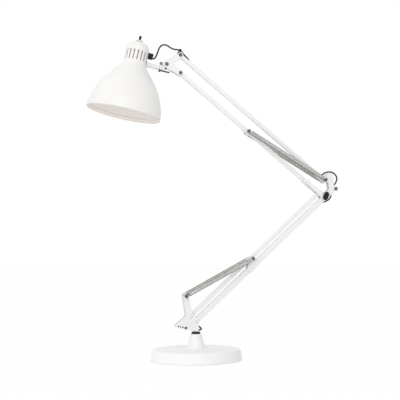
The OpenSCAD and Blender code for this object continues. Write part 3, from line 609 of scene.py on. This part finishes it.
def base_casting():
    """A turned profile: rim, drafted side, rounded edge, flat top, hub with a flared foot, then down the
    bore and round the hollow underneath."""
    hub = curve_through([(34, 0), (29.5, 0.1), (25.5, 0.9), (22.6, 3.2), (20.6, 7), (18.9, 13), (17.2, 19.5),
                         (15.6, 26), (14.5, 30.6)], 4) + [0, DISC_TOP]
    profile = np.concatenate([
        [(HOLLOW_R, 0.6), (BASE_R - 1.3, 0.6)], arc((BASE_R - 1.2, 1.8), 1.2, -90, 0, 4),
        [(BASE_R - 1.2, 6), (BASE_R - 2.6, 14), (BASE_R - 3.7, DISC_TOP - 5.2)],
        arc((BASE_R - 9, DISC_TOP - 5), 5, 0, 88, 8), [(94, DISC_TOP), (70, DISC_TOP), (48, DISC_TOP)], hub,
        arc((HUB_BORE + 2.2, HUB_TOP - 4.2), 4.2, 12, 90, 8),
        [(HUB_BORE + 0.5, HUB_TOP), (HUB_BORE, HUB_TOP - 0.5), (HUB_BORE, 33), (12, 33), (12, HOLLOW_TOP),
         (HOLLOW_R, HOLLOW_TOP)]])
    return turned(profile, (0, 0, 0), (0, 0, 1), 144, closed=True)


piece("base_body", [base_casting()], "base_paint", "base", "base_casting", angle=40)
from_cad("hub_bush_ring", "hub_bush", "black_plastic", "base", 0.5, segments=3)


def ribbed_sleeve():
    """The strain relief: a collar at the casting, then a radius that falls in a line along the sleeve, less
    a groove wherever a cosine wave along it is low."""
    near, far, pitch, depth = 7.4, 31, 3, 0.45
    along = np.linspace(near, far, 60)
    taper = np.interp(along, [near, far], [4.1, 2.3])
    groove = depth * (np.cos((along - 10) * TAU / pitch) < -0.2) * (along > 10) * (along < far - pitch)
    collar = [(0, 0), (3.9, 0), (3.9, 5.3), (5.2, 5.3), (5.5, 5.7), (5.5, 6.9), (5.1, near - 0.1)]
    rows = np.concatenate([collar, np.stack([taper - groove, along], 1), [(1.7, far), (0, far)]])
    return turned(rows, (0, BASE_R - 5, LEAD_EXIT[2]), ACROSS, 28)


piece("strain_sleeve", [ribbed_sleeve()], "black_rubber", "base", "strain_relief", angle=40)

# ---- Bolts and pins ----

PIN_R, PIN_OUT, PIN_CAP_R, PIN_CAP = 2.5, 20.7, 3.4, 1.8
SHANK_R, FLANGE_R, COLLAR_R = 3.0, 4.35, 4.75
THIN_TUBE_OUT = 5.05
BRACKET_IN, BRACKET_OUT = 7.0, 9.0
ELBOW_IN, ELBOW_OUT, FORK_OUT = 7.0, 9.0, 10.9
HEAD_OUT, CLIP_STRAP, CLIP_BLACK_FROM = 7.25, 1.2, 6.6
EAR_OUT = 6.8
SEAT = 0.3
TAIL_BOLT = LOWER_PIVOT + [-25, 0, -15]
TAIL_HOLES = [LOWER_PIVOT + [x, 0, z] for x, z in ((-43, -10.5), (-37.5, -12), (-32, -13.3))]
ELBOW_TIP = ELBOW + [28.5, 0, 21.5]
ELBOW_LINK = ELBOW + LINK_PIVOT - LOWER_PIVOT
HEAD_LOW = HEAD_TOP - [0, 0, UPPER_GAP]
LOWER_STUDS = lower.put([203, 0, 15.4])
UPPER_STUDS = Place(ELBOW, upper.x, side=-1).put([251, 0, -0.8])


def domed_bolt(at, out, under_head=0, head_r=FLANGE_R, head_h=3.0, shank=SHANK_R):
    """A bolt through plates that end at y = -out and out: a flanged, domed head with a hexagon socket, over
    what lies under the head, a shank, and a flanged hexagon nut."""
    seat = -out - under_head
    top, nut, cap = seat - head_h, out + head_h, head_r * 0.8
    rows = [(0, top + 1.3, 1), (1.5, top + 1.3, 1), (1.5, top + 0.15, 1), (1.75, top, 0),
            (cap * 0.6, top + 0.1, 0), (cap * 0.88, top + 0.5, 0), (cap, top + 1.1, 0), (cap, seat - 0.9, 0),
            (head_r - 0.3, seat - 0.8, 0), (head_r, seat - 0.5, 0), (head_r, seat, 0), (shank, seat, 0),
            (shank, out, 0), (head_r, out, 0), (head_r, out + 0.5, 0), (cap, out + 0.9, 0),
            (cap + 0.1, out + 0.95, 1), (cap + 0.1, nut - 0.9, 1), (cap - 0.5, nut - 0.5, 1),
            (shank * 0.9, nut - 0.5, 0), (shank * 0.8, nut, 0), (0, nut, 0)]
    return turned(rows, at, ACROSS, 48)


def round_pin(at, rows):
    """A pin across the lamp from (radius, y) rows."""
    return turned(rows, at, ACROSS, 32)


def pin_end(side, start):
    """The rows of a spring pin's outer end on one side: from start out to its rolled cap."""
    end = PIN_OUT + PIN_CAP
    rows = [(PIN_R, start), (PIN_R, PIN_OUT - 0.2), (PIN_CAP_R - 0.5, PIN_OUT), (PIN_CAP_R, PIN_OUT + 0.45),
            (PIN_CAP_R, end - 0.75), (PIN_CAP_R - 0.55, end - 0.15), (PIN_CAP_R - 1.6, end), (0, end)]
    return [(r, side * y) for r, y in rows][::side]


def spring_pin(at, inner, outer, thick):
    """A pin for a pair of springs, thick between the plates, a shank through them, thin outside."""
    middle = [(SHANK_R, -outer), (SHANK_R, -inner), (thick, -inner), (thick, inner), (SHANK_R, inner),
              (SHANK_R, outer)]
    return round_pin(at, pin_end(-1, outer) + middle + pin_end(1, outer))


def stub_pin(at, side, start):
    """A pin riveted in a saddle's ear on one side."""
    root = [(0, side * start)]
    return round_pin(at, root + pin_end(1, start) if side > 0 else pin_end(-1, start) + root)


def collars(at, far):
    """Washers with rounded edges, one each side of a thin tube, that reach out to the plates."""
    near, r = THIN_TUBE_OUT, COLLAR_R
    rows = [(0, near), (r - 0.3, near), (r, near + 0.3), (r, far - 0.3), (r - 0.3, far), (0, far)]
    return [round_pin(at, [(radius, side * y) for radius, y in rows][::side]) for side in (-1, 1)]


piece("bracket_pivot_bolts", [
    domed_bolt(LOWER_PIVOT, BRACKET_OUT), domed_bolt(LINK_PIVOT, BRACKET_OUT),
    *collars(LINK_PIVOT, BRACKET_IN)], "arm_paint", "bracket", "bracket_bolts")
piece("bracket_tail_bolt", [domed_bolt(TAIL_BOLT, BRACKET_OUT, head_r=3.25, head_h=2.0, shank=2.0)],
      "dark_nickel", "bracket", slot="bracket_bolts")
# Black pins through the tail's three holes stand for the shade inside the holes: painted shade.
piece("bracket_tail_hole_shade", [
    round_pin(at, [(0, -9.35), (1.0, -9.3), (1.6, -9.05), (1.68, -8.9), (1.68, 8.9), (1.6, 9.05), (1.0, 9.3),
                   (0, 9.35)]) for at in TAIL_HOLES], "black_screw", "bracket", slot="bracket_bolts")
piece("lever_spring_pin", [spring_pin(LOWER_PIN, BRACKET_IN, BRACKET_OUT, COLLAR_R)], "dark_nickel",
      "bracket", "lever_pin")
piece("elbow_pivot_bolts", [
    domed_bolt(ELBOW, FORK_OUT + SEAT), domed_bolt(ELBOW_TIP, ELBOW_OUT),
    round_pin(ELBOW_TIP, [(0, -ELBOW_IN), (COLLAR_R, -ELBOW_IN), (COLLAR_R, ELBOW_IN), (0, ELBOW_IN)]),
    round_pin(ELBOW_LINK, [(0, -ELBOW_OUT), (SHANK_R - 0.3, -ELBOW_OUT), (SHANK_R, 0.3 - ELBOW_OUT),
                           (SHANK_R, ELBOW_OUT - 0.3), (SHANK_R - 0.3, ELBOW_OUT), (0, ELBOW_OUT)]),
    *collars(ELBOW_LINK, ELBOW_IN)], "dark_nickel", "elbow", "elbow_bolts")
piece("elbow_pin", [spring_pin(ELBOW_TOP, ELBOW_IN, ELBOW_OUT, SHANK_R), *collars(ELBOW_TOP, ELBOW_IN)],
      "dark_nickel", "elbow", "elbow_spring_pin")
piece("head_pivot_bolts", [domed_bolt(HEAD_TOP, HEAD_OUT, CLIP_STRAP), domed_bolt(HEAD_LOW, HEAD_OUT)],
      "dark_nickel", "head_bracket", "head_bolts")
piece("lower_saddle_studs", [stub_pin(LOWER_STUDS, side, EAR_OUT) for side in (-1, 1)], "dark_nickel",
      "lower_arm", "lower_saddle_pins")
piece("upper_saddle_studs", [round_pin(UPPER_STUDS, pin_end(-1, EAR_OUT) + pin_end(1, EAR_OUT))],
      "dark_nickel", "upper_link", "upper_saddle_pins")

# ---- Plates, tubes and other pressed or moulded parts ----

# Each row: the piece, its CAD node, its finish, its body and the width of its rounded edges.
PRESSED = [
    ("bracket_cheeks", "bracket", "arm_paint", "bracket", 0.5),
    ("spindle_post", "spindle", "plated_steel", "bracket", 0.4),
    ("lower_main_tube", "lower_tube", "arm_paint", "lower_arm", 0.18),
    ("lower_tube_plug", "lower_tube_cap", "black_plastic", "lower_arm", 0.5),
    ("lower_spring_saddle", "lower_saddle", "arm_paint", "lower_arm", 0.35),
    ("lower_thin_tube", "lower_link", "arm_paint", "lower_link", 0.18),
    ("elbow_cheek_front", "elbow_plate_front", "arm_paint", "elbow", 0.5),
    ("elbow_cheek_rear", "elbow_plate_rear", "arm_paint", "elbow", 0.5),
    ("elbow_bolt_covers", "elbow_caps", "black_rubber", "elbow", 1.2),
    ("upper_main_tube", "upper_tube", "arm_paint", "upper_arm", 0.18),
    ("upper_thin_tube", "upper_link", "arm_paint", "upper_link", 0.18),
    ("upper_fork", "upper_link_fork", "arm_paint", "upper_link", 0.35),
    ("upper_spring_saddle", "upper_saddle", "arm_paint", "upper_link", 0.35),
    ("head_cheek_front", "head_plate_front", "arm_paint", "head_bracket", 0.5),
    ("head_cheek_rear", "head_plate_rear", "arm_paint", "head_bracket", 0.5),
    ("knuckle_block", "knuckle", "arm_paint", "knuckle", 0.5),
    ("neck_nut", "stem_nut", "plated_steel", "shade", 0.3),
    ("switch_case", "switch_body", "black_plastic", "shade", 0.4),
    ("switch_collar", "switch_nut", "plated_steel", "shade", 0.3),
]
for pressing in PRESSED:
    from_cad(*pressing)

# ---- Lead clip, tilt bolt and knuckle ----


def dip_top(mesh, height):
    """Cuts a mesh at a height, and gives everything above it the mesh's second finish."""
    with editing(mesh) as made:
        bmesh.ops.bisect_plane(made, geom=made.verts[:] + made.edges[:] + made.faces[:],
                               plane_co=(0, 0, height * MM), plane_no=(0, 0, 1))
    above = rows_of(mesh.polygons, "center")[:, 2] > height * MM
    mesh.polygons.foreach_set("material_index", above.astype(np.int32))


clip = from_cad("lead_clip", "cord_clip", ("arm_paint", "black_plastic"), "head_bracket", 0.25)
dip_top(clip.data, HEAD_TOP[2] + CLIP_BLACK_FROM)
clip_tail = Place(HEAD_TOP + [-0.6, 0, 8.6], [-7.7, 0, -4.8])
piece("lead_clip_tail", [
    block(clip_tail, (0, -HEAD_OUT - CLIP_STRAP - 0.2, -1.3), (8.6, -HEAD_OUT + 0.1, 1.3), 0.4)],
    "black_plastic", "head_bracket", slot="cord_clip")

WING_TURN = math.radians(25)
wing = Place(TILT, [math.cos(WING_TURN), 0, -math.sin(WING_TURN)])
WING_SEAT = HEAD_OUT + SEAT
piece("tilt_wing_bolt", [
    round_pin(TILT, [(0, -9.0), (1.5, -9.6), (1.7, -10.4), (3.0, -10.3), (3.7, -9.8), (3.9, -9.2),
                     (3.9, -8.4), (4.2, -8.3), (FLANGE_R, -8.0), (FLANGE_R, -WING_SEAT),
                     (SHANK_R, -WING_SEAT), (SHANK_R, WING_SEAT), (4.5, WING_SEAT), (4.5, 12.2),
                     (4.2, 14.4), (3.4, 15.2), (SHANK_R, 15.25), (SHANK_R, 19), (2.7, 19.25), (0, 19.25)]),
    *(block(wing, (8 * side - 6.5, 12.7, -3.5), (8 * side + 6.5, 14.8, 3.5), 1.05) for side in (-1, 1))],
    "dark_nickel", "head_bracket", "tilt_bolt")

knuckle = Place(TILT, stem_way)
CLAMP_X, CLAMP_SPLIT = -14.5, -13.6
BAR, CROSSPIECE = (26, 4.75), (5, 9)
GRIP_Z = 21.4


def clamp_bar(low, high):
    """The clamp between two heights: a bar along the stem, with a crosspiece at its outer end."""
    low, high = CLAMP_SPLIT + low, CLAMP_SPLIT + high
    return [block(knuckle, (CLAMP_X, -half, low), (CLAMP_X + length, half, high), 0.6)
            for length, half in (BAR, CROSSPIECE)]


def clamp_screw(side):
    """A cheese-head screw down through the clamp, and its hexagon nut underneath."""
    top, foot = CLAMP_SPLIT + 7.5, CLAMP_SPLIT - 5
    rows = [(0, foot - 1.8, 0), (1.1, foot - 1.8, 0), (1.2, foot - 1.7, 1), (2.3, foot - 1.5, 1),
            (2.4, foot - 1.2, 1), (2.4, foot, 1), (1.25, foot, 0), (1.25, top, 0), (2.3, top, 0),
            (2.3, top + 1.5, 0), (1.9, top + 2.2, 0), (1.2, top + 2.4, 0), (0.9, top + 1.6, 1),
            (0, top + 1.6, 1)]
    return turned(rows, knuckle.put([CLAMP_X + 2.5, side * 6.7, 0]), knuckle.z, 24)


piece("knuckle_half", clamp_bar(-3.5, -0.1), "arm_paint", "knuckle", "knuckle_base")
piece("knuckle_pad", clamp_bar(-5, -3.5), "black_plastic", "knuckle", slot="knuckle_base")
piece("knuckle_screws", [clamp_screw(side) for side in (-1, 1)], "dark_nickel", "knuckle", "clamp_screws")
piece("knuckle_set_screw", [round_pin(knuckle.put([0.1, 0, -11]), [
    (0, -4.85), (0.9, -4.85), (1.1, -5.1), (1.8, -5.1), (2.2, -4.95), (2.2, -4.6), (0, -4.6)])],
    "black_screw", "knuckle", slot="clamp_screws")
piece("lead_grip", [
    block(shade, (25.5, -6, GRIP_Z - 6.75), (39.5, 6, GRIP_Z + 6.75), 1.6),
    block(shade, (26.8, -6.6, GRIP_Z - 7.2), (29.6, 6.6, GRIP_Z + 7.2), 0.9)],
    "black_rubber", "shade", "cord_grip")

# ---- Shade ----

NECK_R, MOUTH_R = 27.5, 89.0
WALL, RIM_R = 1.2, 0.95
SLOTS, NO_SLOTS = 18, 15
SLOT_TOP, SLOT_LEN, SLOT_W = 23.5, 24.5, 3.0
BAND_TOP, BAND_END = 20.0, 52.0
CELL_ACROSS, CELL_DOWN = 6, 10
shade_rows = [(6, 0), (14, 1.4), (20, 4.2), (24, 8), (26.6, 12.8), (NECK_R, 18), (NECK_R, 30), (NECK_R, 46),
              (NECK_R + 1.1, 54), (NECK_R + 4, 61), (NECK_R + 9.5, 68), (NECK_R + 16, 76),
              (NECK_R + 22.5, 84), (NECK_R + 29.3, 92), (NECK_R + 36, 101), (NECK_R + 41.5, 110),
              (MOUTH_R - 15, 120), (MOUTH_R - 10, 131), (MOUTH_R - 5.7, 143), (MOUTH_R - 2.4, 155),
              (MOUTH_R - 0.6, 166), (MOUTH_R, SHADE_H)]
shade_curve = curve_through(shade_rows, 4)


def on_shade(turn, depth):
    """The shade's outer skin: the point at an angle round its axis and a depth under the crown."""
    turn, depth = np.broadcast_arrays(turn, depth)
    r = np.interp(depth, shade_curve[:, 1], shade_curve[:, 0])
    return shade.put(np.stack([r * np.cos(turn), r * np.sin(turn), CROWN - depth], -1))


def slot_cell(k):
    """A cell of the neck band round one slot: u runs round the slot's edge and the cell's edge together,
    v from the slot out to the cell's edge in a straight line."""
    middle, half = (k + 0.5) * TAU / SLOTS - math.pi, math.pi / SLOTS
    a, d = CELL_ACROSS, CELL_DOWN
    across, down = np.linspace(-1, 1, a + 1)[:-1], np.linspace(0, 1, d + 1)[:-1]
    edge = np.concatenate([
        np.stack([across, np.zeros(a)], 1), np.stack([np.ones(d), down], 1),
        np.stack([-across, np.ones(a)], 1), np.stack([-np.ones(d), 1 - down], 1)])
    outer = np.stack([edge[:, 0] * half, BAND_TOP + edge[:, 1] * (BAND_END - BAND_TOP)], 1)
    r = SLOT_W / 2
    straight = SLOT_LEN - 2 * r
    bend = np.pi * (across + 1) / 2
    hole = np.concatenate([
        np.stack([-r * np.cos(bend), SLOT_TOP + r - r * np.sin(bend)], 1),
        np.stack([np.full(d, r), SLOT_TOP + r + down * straight], 1),
        np.stack([r * np.cos(bend), SLOT_TOP + SLOT_LEN - r + r * np.sin(bend)], 1),
        np.stack([np.full(d, -r), SLOT_TOP + SLOT_LEN - r - down * straight], 1)])
    hole[:, 0] /= NECK_R
    v = np.array([0, 0.08, 0.3, 0.6, 1.0])[:, None, None]
    both = hole * (1 - v) + outer * v
    return on_shade(middle + both[..., 0], both[..., 1]), False, True


def plain_cell(k):
    """A cell of the neck band without a slot."""
    turn = (k + np.linspace(0, 1, CELL_ACROSS + 1)) * TAU / SLOTS - math.pi
    depth = np.linspace(BAND_TOP, BAND_END, CELL_DOWN + 1)
    return on_shade(turn[None, :], depth[:, None]), False, False


def shade_skin():
    """Crown, neck band with its slots, and bell, all with the same spokes. The band has no slots within
    NO_SLOTS degrees of the stem."""
    turn = TAU * np.arange(SLOTS * CELL_ACROSS) / (SLOTS * CELL_ACROSS) - math.pi
    depths = shade_curve[:, 1]
    crown = np.append(depths[depths < BAND_TOP - 0.3], BAND_TOP)
    bell = np.append(BAND_END, depths[depths > BAND_END + 0.3])
    grids = [(on_shade(turn[None, :], depth[:, None]), False, True) for depth in (crown, bell)]
    for k in range(SLOTS):
        from_stem = abs((k + 0.5) * 360 / SLOTS - 180)
        grids.append(slot_cell(k) if from_stem > NO_SLOTS else plain_cell(k))
    return grids


def make_shade():
    """The spun shade: the skin, given its wall inwards, with the inside lined in a second finish."""
    skin = mesh_of("shade_spinning", shade_skin())
    outwards = rows_of(skin.polygons, "center") - shade.put([0, 0, CROWN - SHADE_H / 2]) * MM
    if np.sum(rows_of(skin.polygons, "normal") * outwards) < 0:
        skin.flip_normals()
    spinning = piece("shade_spinning", skin, ("shade_paint", "shade_lining"), "shade", "shade_bell",
                     "shade_shoulder", "shade_neck", angle=40)
    wall = spinning.modifiers.new("wall", "SOLIDIFY")
    wall.thickness, wall.offset = WALL * MM, -1
    wall.material_offset, wall.material_offset_rim = 1, 0
    wall.use_even_offset = True


make_shade()


def hem():
    """The hem turned up inside the mouth: a thin band whose top edge is rounded."""
    foot, top, r = CROWN - SHADE_H + 0.9, CROWN - SHADE_H + HEM - 0.2, MOUTH_R - WALL
    rows = [(r + 0.2, foot), (r - 0.9, foot), (r - 1.15, top - 0.8), (r - 1.1, top - 0.3), (r - 0.8, top),
            (r + 0.1, top)]
    return turned(rows, shade.origin, shade.z, 144, closed=True)


piece("shade_hem", [hem()], "shade_lining", "shade", slot="shade_bell", angle=50)


def rolled_rim():
    """The rolled edge at the mouth: a small circle turned about the shade's axis."""
    a = TAU * np.arange(10) / 10
    rows = np.stack([MOUTH_R + RIM_R * (np.cos(a) - 1), CROWN - SHADE_H + RIM_R * (np.sin(a) + 1)], 1)
    return turned(rows, shade.origin, shade.z, 144, closed=True)


piece("shade_rim", [rolled_rim()], "rim_paint", "shade", slot="shade_bell", angle=80)

STEM_R, STEM_STEP = 5.25, 60.3


def stem_rows():
    """The stem's profile along its axis: a flared foot on the neck, a straight tube, and a thinner end
    inside the knuckle."""
    flare = curve_through([(9, NECK_R + 0.1), (8.6, NECK_R + 0.9), (7.4, NECK_R + 1.8), (6.3, NECK_R + 3.6),
                           (5.6, NECK_R + 6.2), (STEM_R, NECK_R + 10)], 4)
    far = np.array(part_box("stem"))[1] / MM
    reach = float(np.dot(far - shade.origin, shade.x))
    return np.concatenate([[(0, NECK_R - 5), (3.6, NECK_R - 5), (4, NECK_R - 4.6), (4, NECK_R + 0.1)], flare,
                           [(STEM_R, STEM_STEP - 0.5), (4.8, STEM_STEP), (4, STEM_STEP), (4, reach - 0.4),
                            (3.6, reach), (0, reach)]])


piece("shade_stem", [turned(stem_rows(), shade.origin, shade.x, 40)], "arm_paint", "shade", "stem", angle=40)

HOLDER_R, WELL_R = 19, 13.8
HOLDER_TOP = CROWN - 13.4
HOLDER_END = HOLDER_TOP - 46
WELL_END = HOLDER_END + 29
holder_rows = [(0, HOLDER_TOP), (11, HOLDER_TOP), (12.6, HOLDER_TOP - 0.8), (18, HOLDER_TOP - 8),
               (HOLDER_R, HOLDER_TOP - 10), (HOLDER_R, HOLDER_TOP - 22), (18.6, HOLDER_TOP - 22.4),
               (18.6, HOLDER_TOP - 23.2), (HOLDER_R, HOLDER_TOP - 23.6), (HOLDER_R, HOLDER_END + 0.6),
               (18.4, HOLDER_END), (13.9, HOLDER_END), (WELL_R, HOLDER_END + 0.5), (WELL_R, WELL_END),
               (0, WELL_END)]
piece("lampholder_skirt", [turned(holder_rows, shade.origin, shade.z, 48)], "holder_white", "shade",
      "lampholder", angle=40)
BULB_Z, BULB_R = HOLDER_END - 38, 22.5
bulb_rows = curve_through([(0, BULB_Z - BULB_R), (8, BULB_Z - 21), (15.9, BULB_Z - 15.9), (21, BULB_Z - 8),
                           (BULB_R, BULB_Z), (21.2, BULB_Z + 8), (18, BULB_Z + 16), (14.6, BULB_Z + 25),
                           (13, BULB_Z + 33), (12.9, BULB_Z + 45), (12.9, BULB_Z + 60), (0, BULB_Z + 61)], 5)
bulb_rows[:, 0] = np.maximum(bulb_rows[:, 0], 0)
piece("bulb_glass", [turned(bulb_rows, shade.origin, shade.z, 48)], "lamp_glass", "shade", "bulb", angle=60)

LEVER_LEAN, LEVER_LEN = math.radians(12), 9.4
lever_way = shade.z * math.cos(LEVER_LEAN) - ACROSS * math.sin(LEVER_LEAN)
lever_rows = np.concatenate([arc((0, 0), 1.8, -90, 25, 6),
                             curve_through([(1.7, 1.6), (2.6, 4), (3.0, 7), (3.1, LEVER_LEN)], 3),
                             arc((0, LEVER_LEN), 3.1, 8, 90, 8)])
piece("switch_toggle", [turned(lever_rows, shade.put([0, 0, CROWN + 2.6]), lever_way, 28)], "black_plastic",
      "switch_lever", "switch_lever", angle=60)

# ---- Springs ----

COIL_R, WIRE_R, PITCH, SPRING_Y = 4.35, 0.9, 2.0, 17.5
HOOK_R, HOOK_OFF = 4.4, 0.8
POINTS_A_COIL = 16
RUNS, END_HOLD = 6, 8.0


def coil_path(span):
    """The close helix of a spring, from hook to hook. In the spring's frame, x along it."""
    start = HOOK_OFF + HOOK_R + 0.9
    length = span - 2 * start
    turns = round(length / PITCH)
    t = np.linspace(0, turns, turns * POINTS_A_COIL + 1)
    return np.stack([start + length * t / turns, COIL_R * np.sin(TAU * t), COIL_R * np.cos(TAU * t)], 1)


def hook_path():
    """The open hook at a spring's near end: an arc round the pin, then a neck to the middle of the coil."""
    a = np.radians(np.linspace(-70, -270, 15))
    hook = np.stack([HOOK_OFF + HOOK_R * np.cos(a), 0 * a, HOOK_R * np.sin(a)], 1)
    neck = curve_through([hook[-1], (3.5, 0, 3.7), (5.2, 0, 1.7), (6.6, 0, 0.3), (8.6, 0, 0)], 4)
    return np.concatenate([hook, neck[1:]])


def wire_rings(path, radius, sides):
    """Circles carried along a path without twist: each spoke is the last one less its part along the way."""
    spokes = [ACROSS]
    for way in directions(path):
        spokes.append(unit(spokes[-1] - spokes[-1].dot(way) * way))
    return circles_on(path, np.array(spokes[1:]), radius, sides)


def even_runs(length):
    """Where a spring is cut, and the two ends of each length's bend. A bend eases in and out, as 3tt - 2ttt,
    so each length takes the part of a longer bend that makes up its own share, and together they stretch
    evenly."""
    share = np.linspace(0, 1, RUNS + 1)
    t = 0.5 - np.sin(np.arcsin(1 - 2 * share) / 3)
    run = length / RUNS / np.diff(t)
    start = length * share[:-1] - t[:-1] * run
    return length * share, start, start + run


def both_sides(line, wires):
    """Closed wires as grids, once for the spring at each side of the arms."""
    return [capped(line.put(wire + [0, side * SPRING_Y, 0])) for wire in wires for side in (-1, 1)]


def mark_wire(mesh, line):
    """Stores on a coil's points, from 0 to 1, how far out each is in the wire and how near it is to the
    spring's upper or lower side."""
    away = rows_of(mesh.vertices, "co") / MM - line.origin
    across, up = np.abs(away[:, 1]) - SPRING_Y, away @ line.z
    from_axis = np.hypot(across, up)
    for layer, value in (("crest", (from_axis - COIL_R + WIRE_R) / (2 * WIRE_R)),
                         ("flank", np.abs(up) / from_axis)):
        mesh.attributes.new(layer, "FLOAT", "POINT").data.foreach_set("value", np.clip(value, 0, 1))


def spring_pair(name, near, far, bodies, pin_body, *nodes):
    """Two springs side by side. The coil is cut into lengths that stretch between two bodies, the near hook
    is in the first of them, and the far hook stays on its pin, which moves with a body of its own."""
    line = Place(near, far - near)
    span = float(np.linalg.norm(far - near))
    path = coil_path(span)
    coils = wire_rings(path, WIRE_R, 6)
    hook = wire_rings(hook_path(), WIRE_R, 8)
    cuts, starts, ends = even_runs(span - 2 * END_HOLD)
    at = [0, *np.searchsorted(np.maximum.accumulate(path[:, 0]), END_HOLD + cuts[1:-1]), len(path) - 1]
    for k in range(RUNS):
        wires = [coils[at[k]:at[k + 1] + 1]] + ([hook] if k == 0 else [])
        mesh = mesh_of(name, both_sides(line, wires))
        mark_wire(mesh, line)
        bend = [near + (END_HOLD + x) * line.x for x in (starts[k], ends[k])]
        piece(f"{name}_{k + 1}", mesh, "spring_steel", (*bodies, *bend), *nodes, angle=70)
    far_hook = (hook * [-1, 1, 1] + [span, 0, 0])[:, ::-1]
    piece(name.replace("coils", "far_hooks"), both_sides(line, [far_hook]), "hook_steel", pin_body, *nodes,
          angle=70)


spring_pair("lower_spring_coils", LOWER_PIN, LOWER_STUDS, ("lower_spring", "lower_spring_end"), "lower_arm",
            "lower_springs", "lower_spring_eyes")
spring_pair("upper_spring_coils", ELBOW_TOP, UPPER_STUDS, ("upper_spring", "upper_spring_end"), "upper_link",
            "upper_springs", "upper_spring_eyes")

# ---- Lead along the arms, held all the way ----

STEPS = 6


def lead_run(route, **lengths):
    """A held run of the lead: one curve through (x, z) points in the arms' plane, cut where the bodies that
    carry it change. Each length has the two bodies it bends between, its first and last point, and its
    bend's two."""
    route = np.array([(x, 0, z) for x, z in route], float)
    circles = rings(curve_through(route, STEPS), LEAD_R, 12)
    for name, (one, other, first, last, start, end) in lengths.items():
        piece(name.replace("lead", "flex"), [capped(circles[STEPS * first:STEPS * last + 1])], "lead_sheath",
              (one, other, route[start], route[end]), name, angle=60)


lead_run([(-98, 720.2), (-95, 721), (-91.4, 724.6), (-88, 731), (-84.3, 741), (-81, 748.2), (-76, 753.6),
          (-69.5, 755.2), (-63.3, 754.1), (-55, 749), (-46, 745.2), (-38, 744.4), (-31.7, 742.6),
          (-26.5, 738.4), (-21.4, 732.4), (-15.4, 726.2), (-10.9, 720.6), (-9, 715.4), (-6.6, 709.7)],
         head_lead_shade=("knuckle", "shade", 0, 3, 3, 1),
         head_lead_mid=("head_bracket", "knuckle", 3, 11, 11, 3),
         head_lead_arm=("head_bracket", "upper_arm", 11, 18, 12, 16))
lead_run([(312.4, 441.9), (316.4, 440.4), (320.2, 441.6), (325, 445.6), (330.5, 448.6), (338, 450.6),
          (345, 450.4), (354, 446.6), (359.6, 439), (360, 430), (354.6, 420.4), (346.4, 411.4),
          (343.8, 401.8), (344.6, 392.4), (340, 383.6), (331, 378.4), (324.5, 376.4), (319.5, 375.2),
          (315.2, 374.6), (309.8, 373)],
         elbow_lead_high=("elbow", "upper_arm", 0, 6, 5, 1),
         elbow_lead_low=("elbow", "lower_arm", 6, 19, 11, 16))
lead_run([(10.5, 103.4), (8.6, 100.6), (7.4, 96.8), (6.8, 92.4), (5.8, 87.6), (5.8, 83.2), (9, 79),
          (12.8, 75.4), (12, 72.6), (7.6, 72.2), (3.4, 72.8), (0.6, 72), (0, 69.9)],
         foot_lead=("bracket", "lower_arm", 0, 12, 9, 3))

# ---- CAD nodes that stay ----

KEPT = {
    "base_weight": "raw_iron", "base_pad": "black_rubber", "base_lead": "lead_sheath",
    "spindle_lead": "lead_sheath", "spindle_nut": "plated_steel", "lower_arm_lead": "lead_sheath",
    "upper_arm_lead": "lead_sheath",
}
for node, finish in KEPT.items():
    data = frame["nodes"][node].data
    data.materials.clear()
    data.materials.append(FINISHES[finish].material)

# ---- Studio ----

FLOOR_Z = -0.05


def floor_disc():
    """A grid: rings of points from the middle of a wide disc outwards, a hair under the lamp's foot."""
    a = TAU * np.arange(96) / 96
    r = np.array([0, 1500, 9000])[:, None]
    return np.stack(np.broadcast_arrays(r * np.cos(a), r * np.sin(a), FLOOR_Z), -1), False, True


FLOOR_WHITE, SKY_MIDDLE, SKY_SLOPE = 0.95, 0.95, 0.29


def seen_directly(f):
    """1 for rays from the camera, a mirror or glass, 0 for the light that falls on things."""
    camera, mirror, glass = (f.node("ShaderNodeLightPath", out=name)
                             for name in ("Is Camera Ray", "Is Glossy Ray", "Is Transmission Ray"))
    return (camera + mirror + glass).at_most(1.0)


def make_floor():
    """A matt floor that is white where it is seen directly, less the lamp's faint shadow."""
    f = Finish("studio_floor", Base_Color=(0.86, 0.86, 0.86, 1), Roughness=0.9, Specular_IOR_Level=0.1)
    glow = f.node("ShaderNodeEmission", {}, {"Color": (1, 1, 1), "Strength": 1.0})
    matt = Value(f, f.shader.outputs[0])
    shown = f.node("ShaderNodeMixShader", {}, {0: seen_directly(f) * FLOOR_WHITE, 1: matt, 2: glow})
    f.feed(f.tree.nodes["Material Output"].inputs["Surface"], shown)
    floor = in_scene("studio_floor", mesh_of("studio_floor", [floor_disc()]))
    floor.data.materials.append(f.material)


def soft_light(name, at, target, size, watts):
    """A white square area lamp that looks at a point. Lengths in millimetres."""
    data = bpy.data.lights.new(name, "AREA")
    data.size, data.energy = size * MM, watts
    lamp = in_scene(name, data)
    lamp.location = np.array(at) * MM
    lamp.rotation_mode = "QUATERNION"
    lamp.rotation_quaternion = Vector(np.subtract(target, at) * MM).to_track_quat("-Z", "Y")


def make_world():
    """Light from all round, stronger from the left, and plain white where it is seen directly."""
    world = bpy.data.worlds.new("studio_world")
    bpy.context.scene.world = world
    world.use_nodes = True
    sky = Nodes(world.node_tree)
    background = sky.tree.nodes["Background"]
    direct = seen_directly(sky)
    way = sky.node("ShaderNodeTexCoord", out="Generated")
    from_left = SKY_MIDDLE - sky.part("X", way) * SKY_SLOPE
    sky.feed(background.inputs["Color"], (1, 1, 1))
    sky.feed(background.inputs["Strength"], from_left * (1.0 - direct) + direct)


make_floor()
soft_light("key_light", (-600, -2400, 1200), (0, 0, 400), 1600, 15.5)
make_world()
bpy.context.scene.view_settings.view_transform = "Standard"
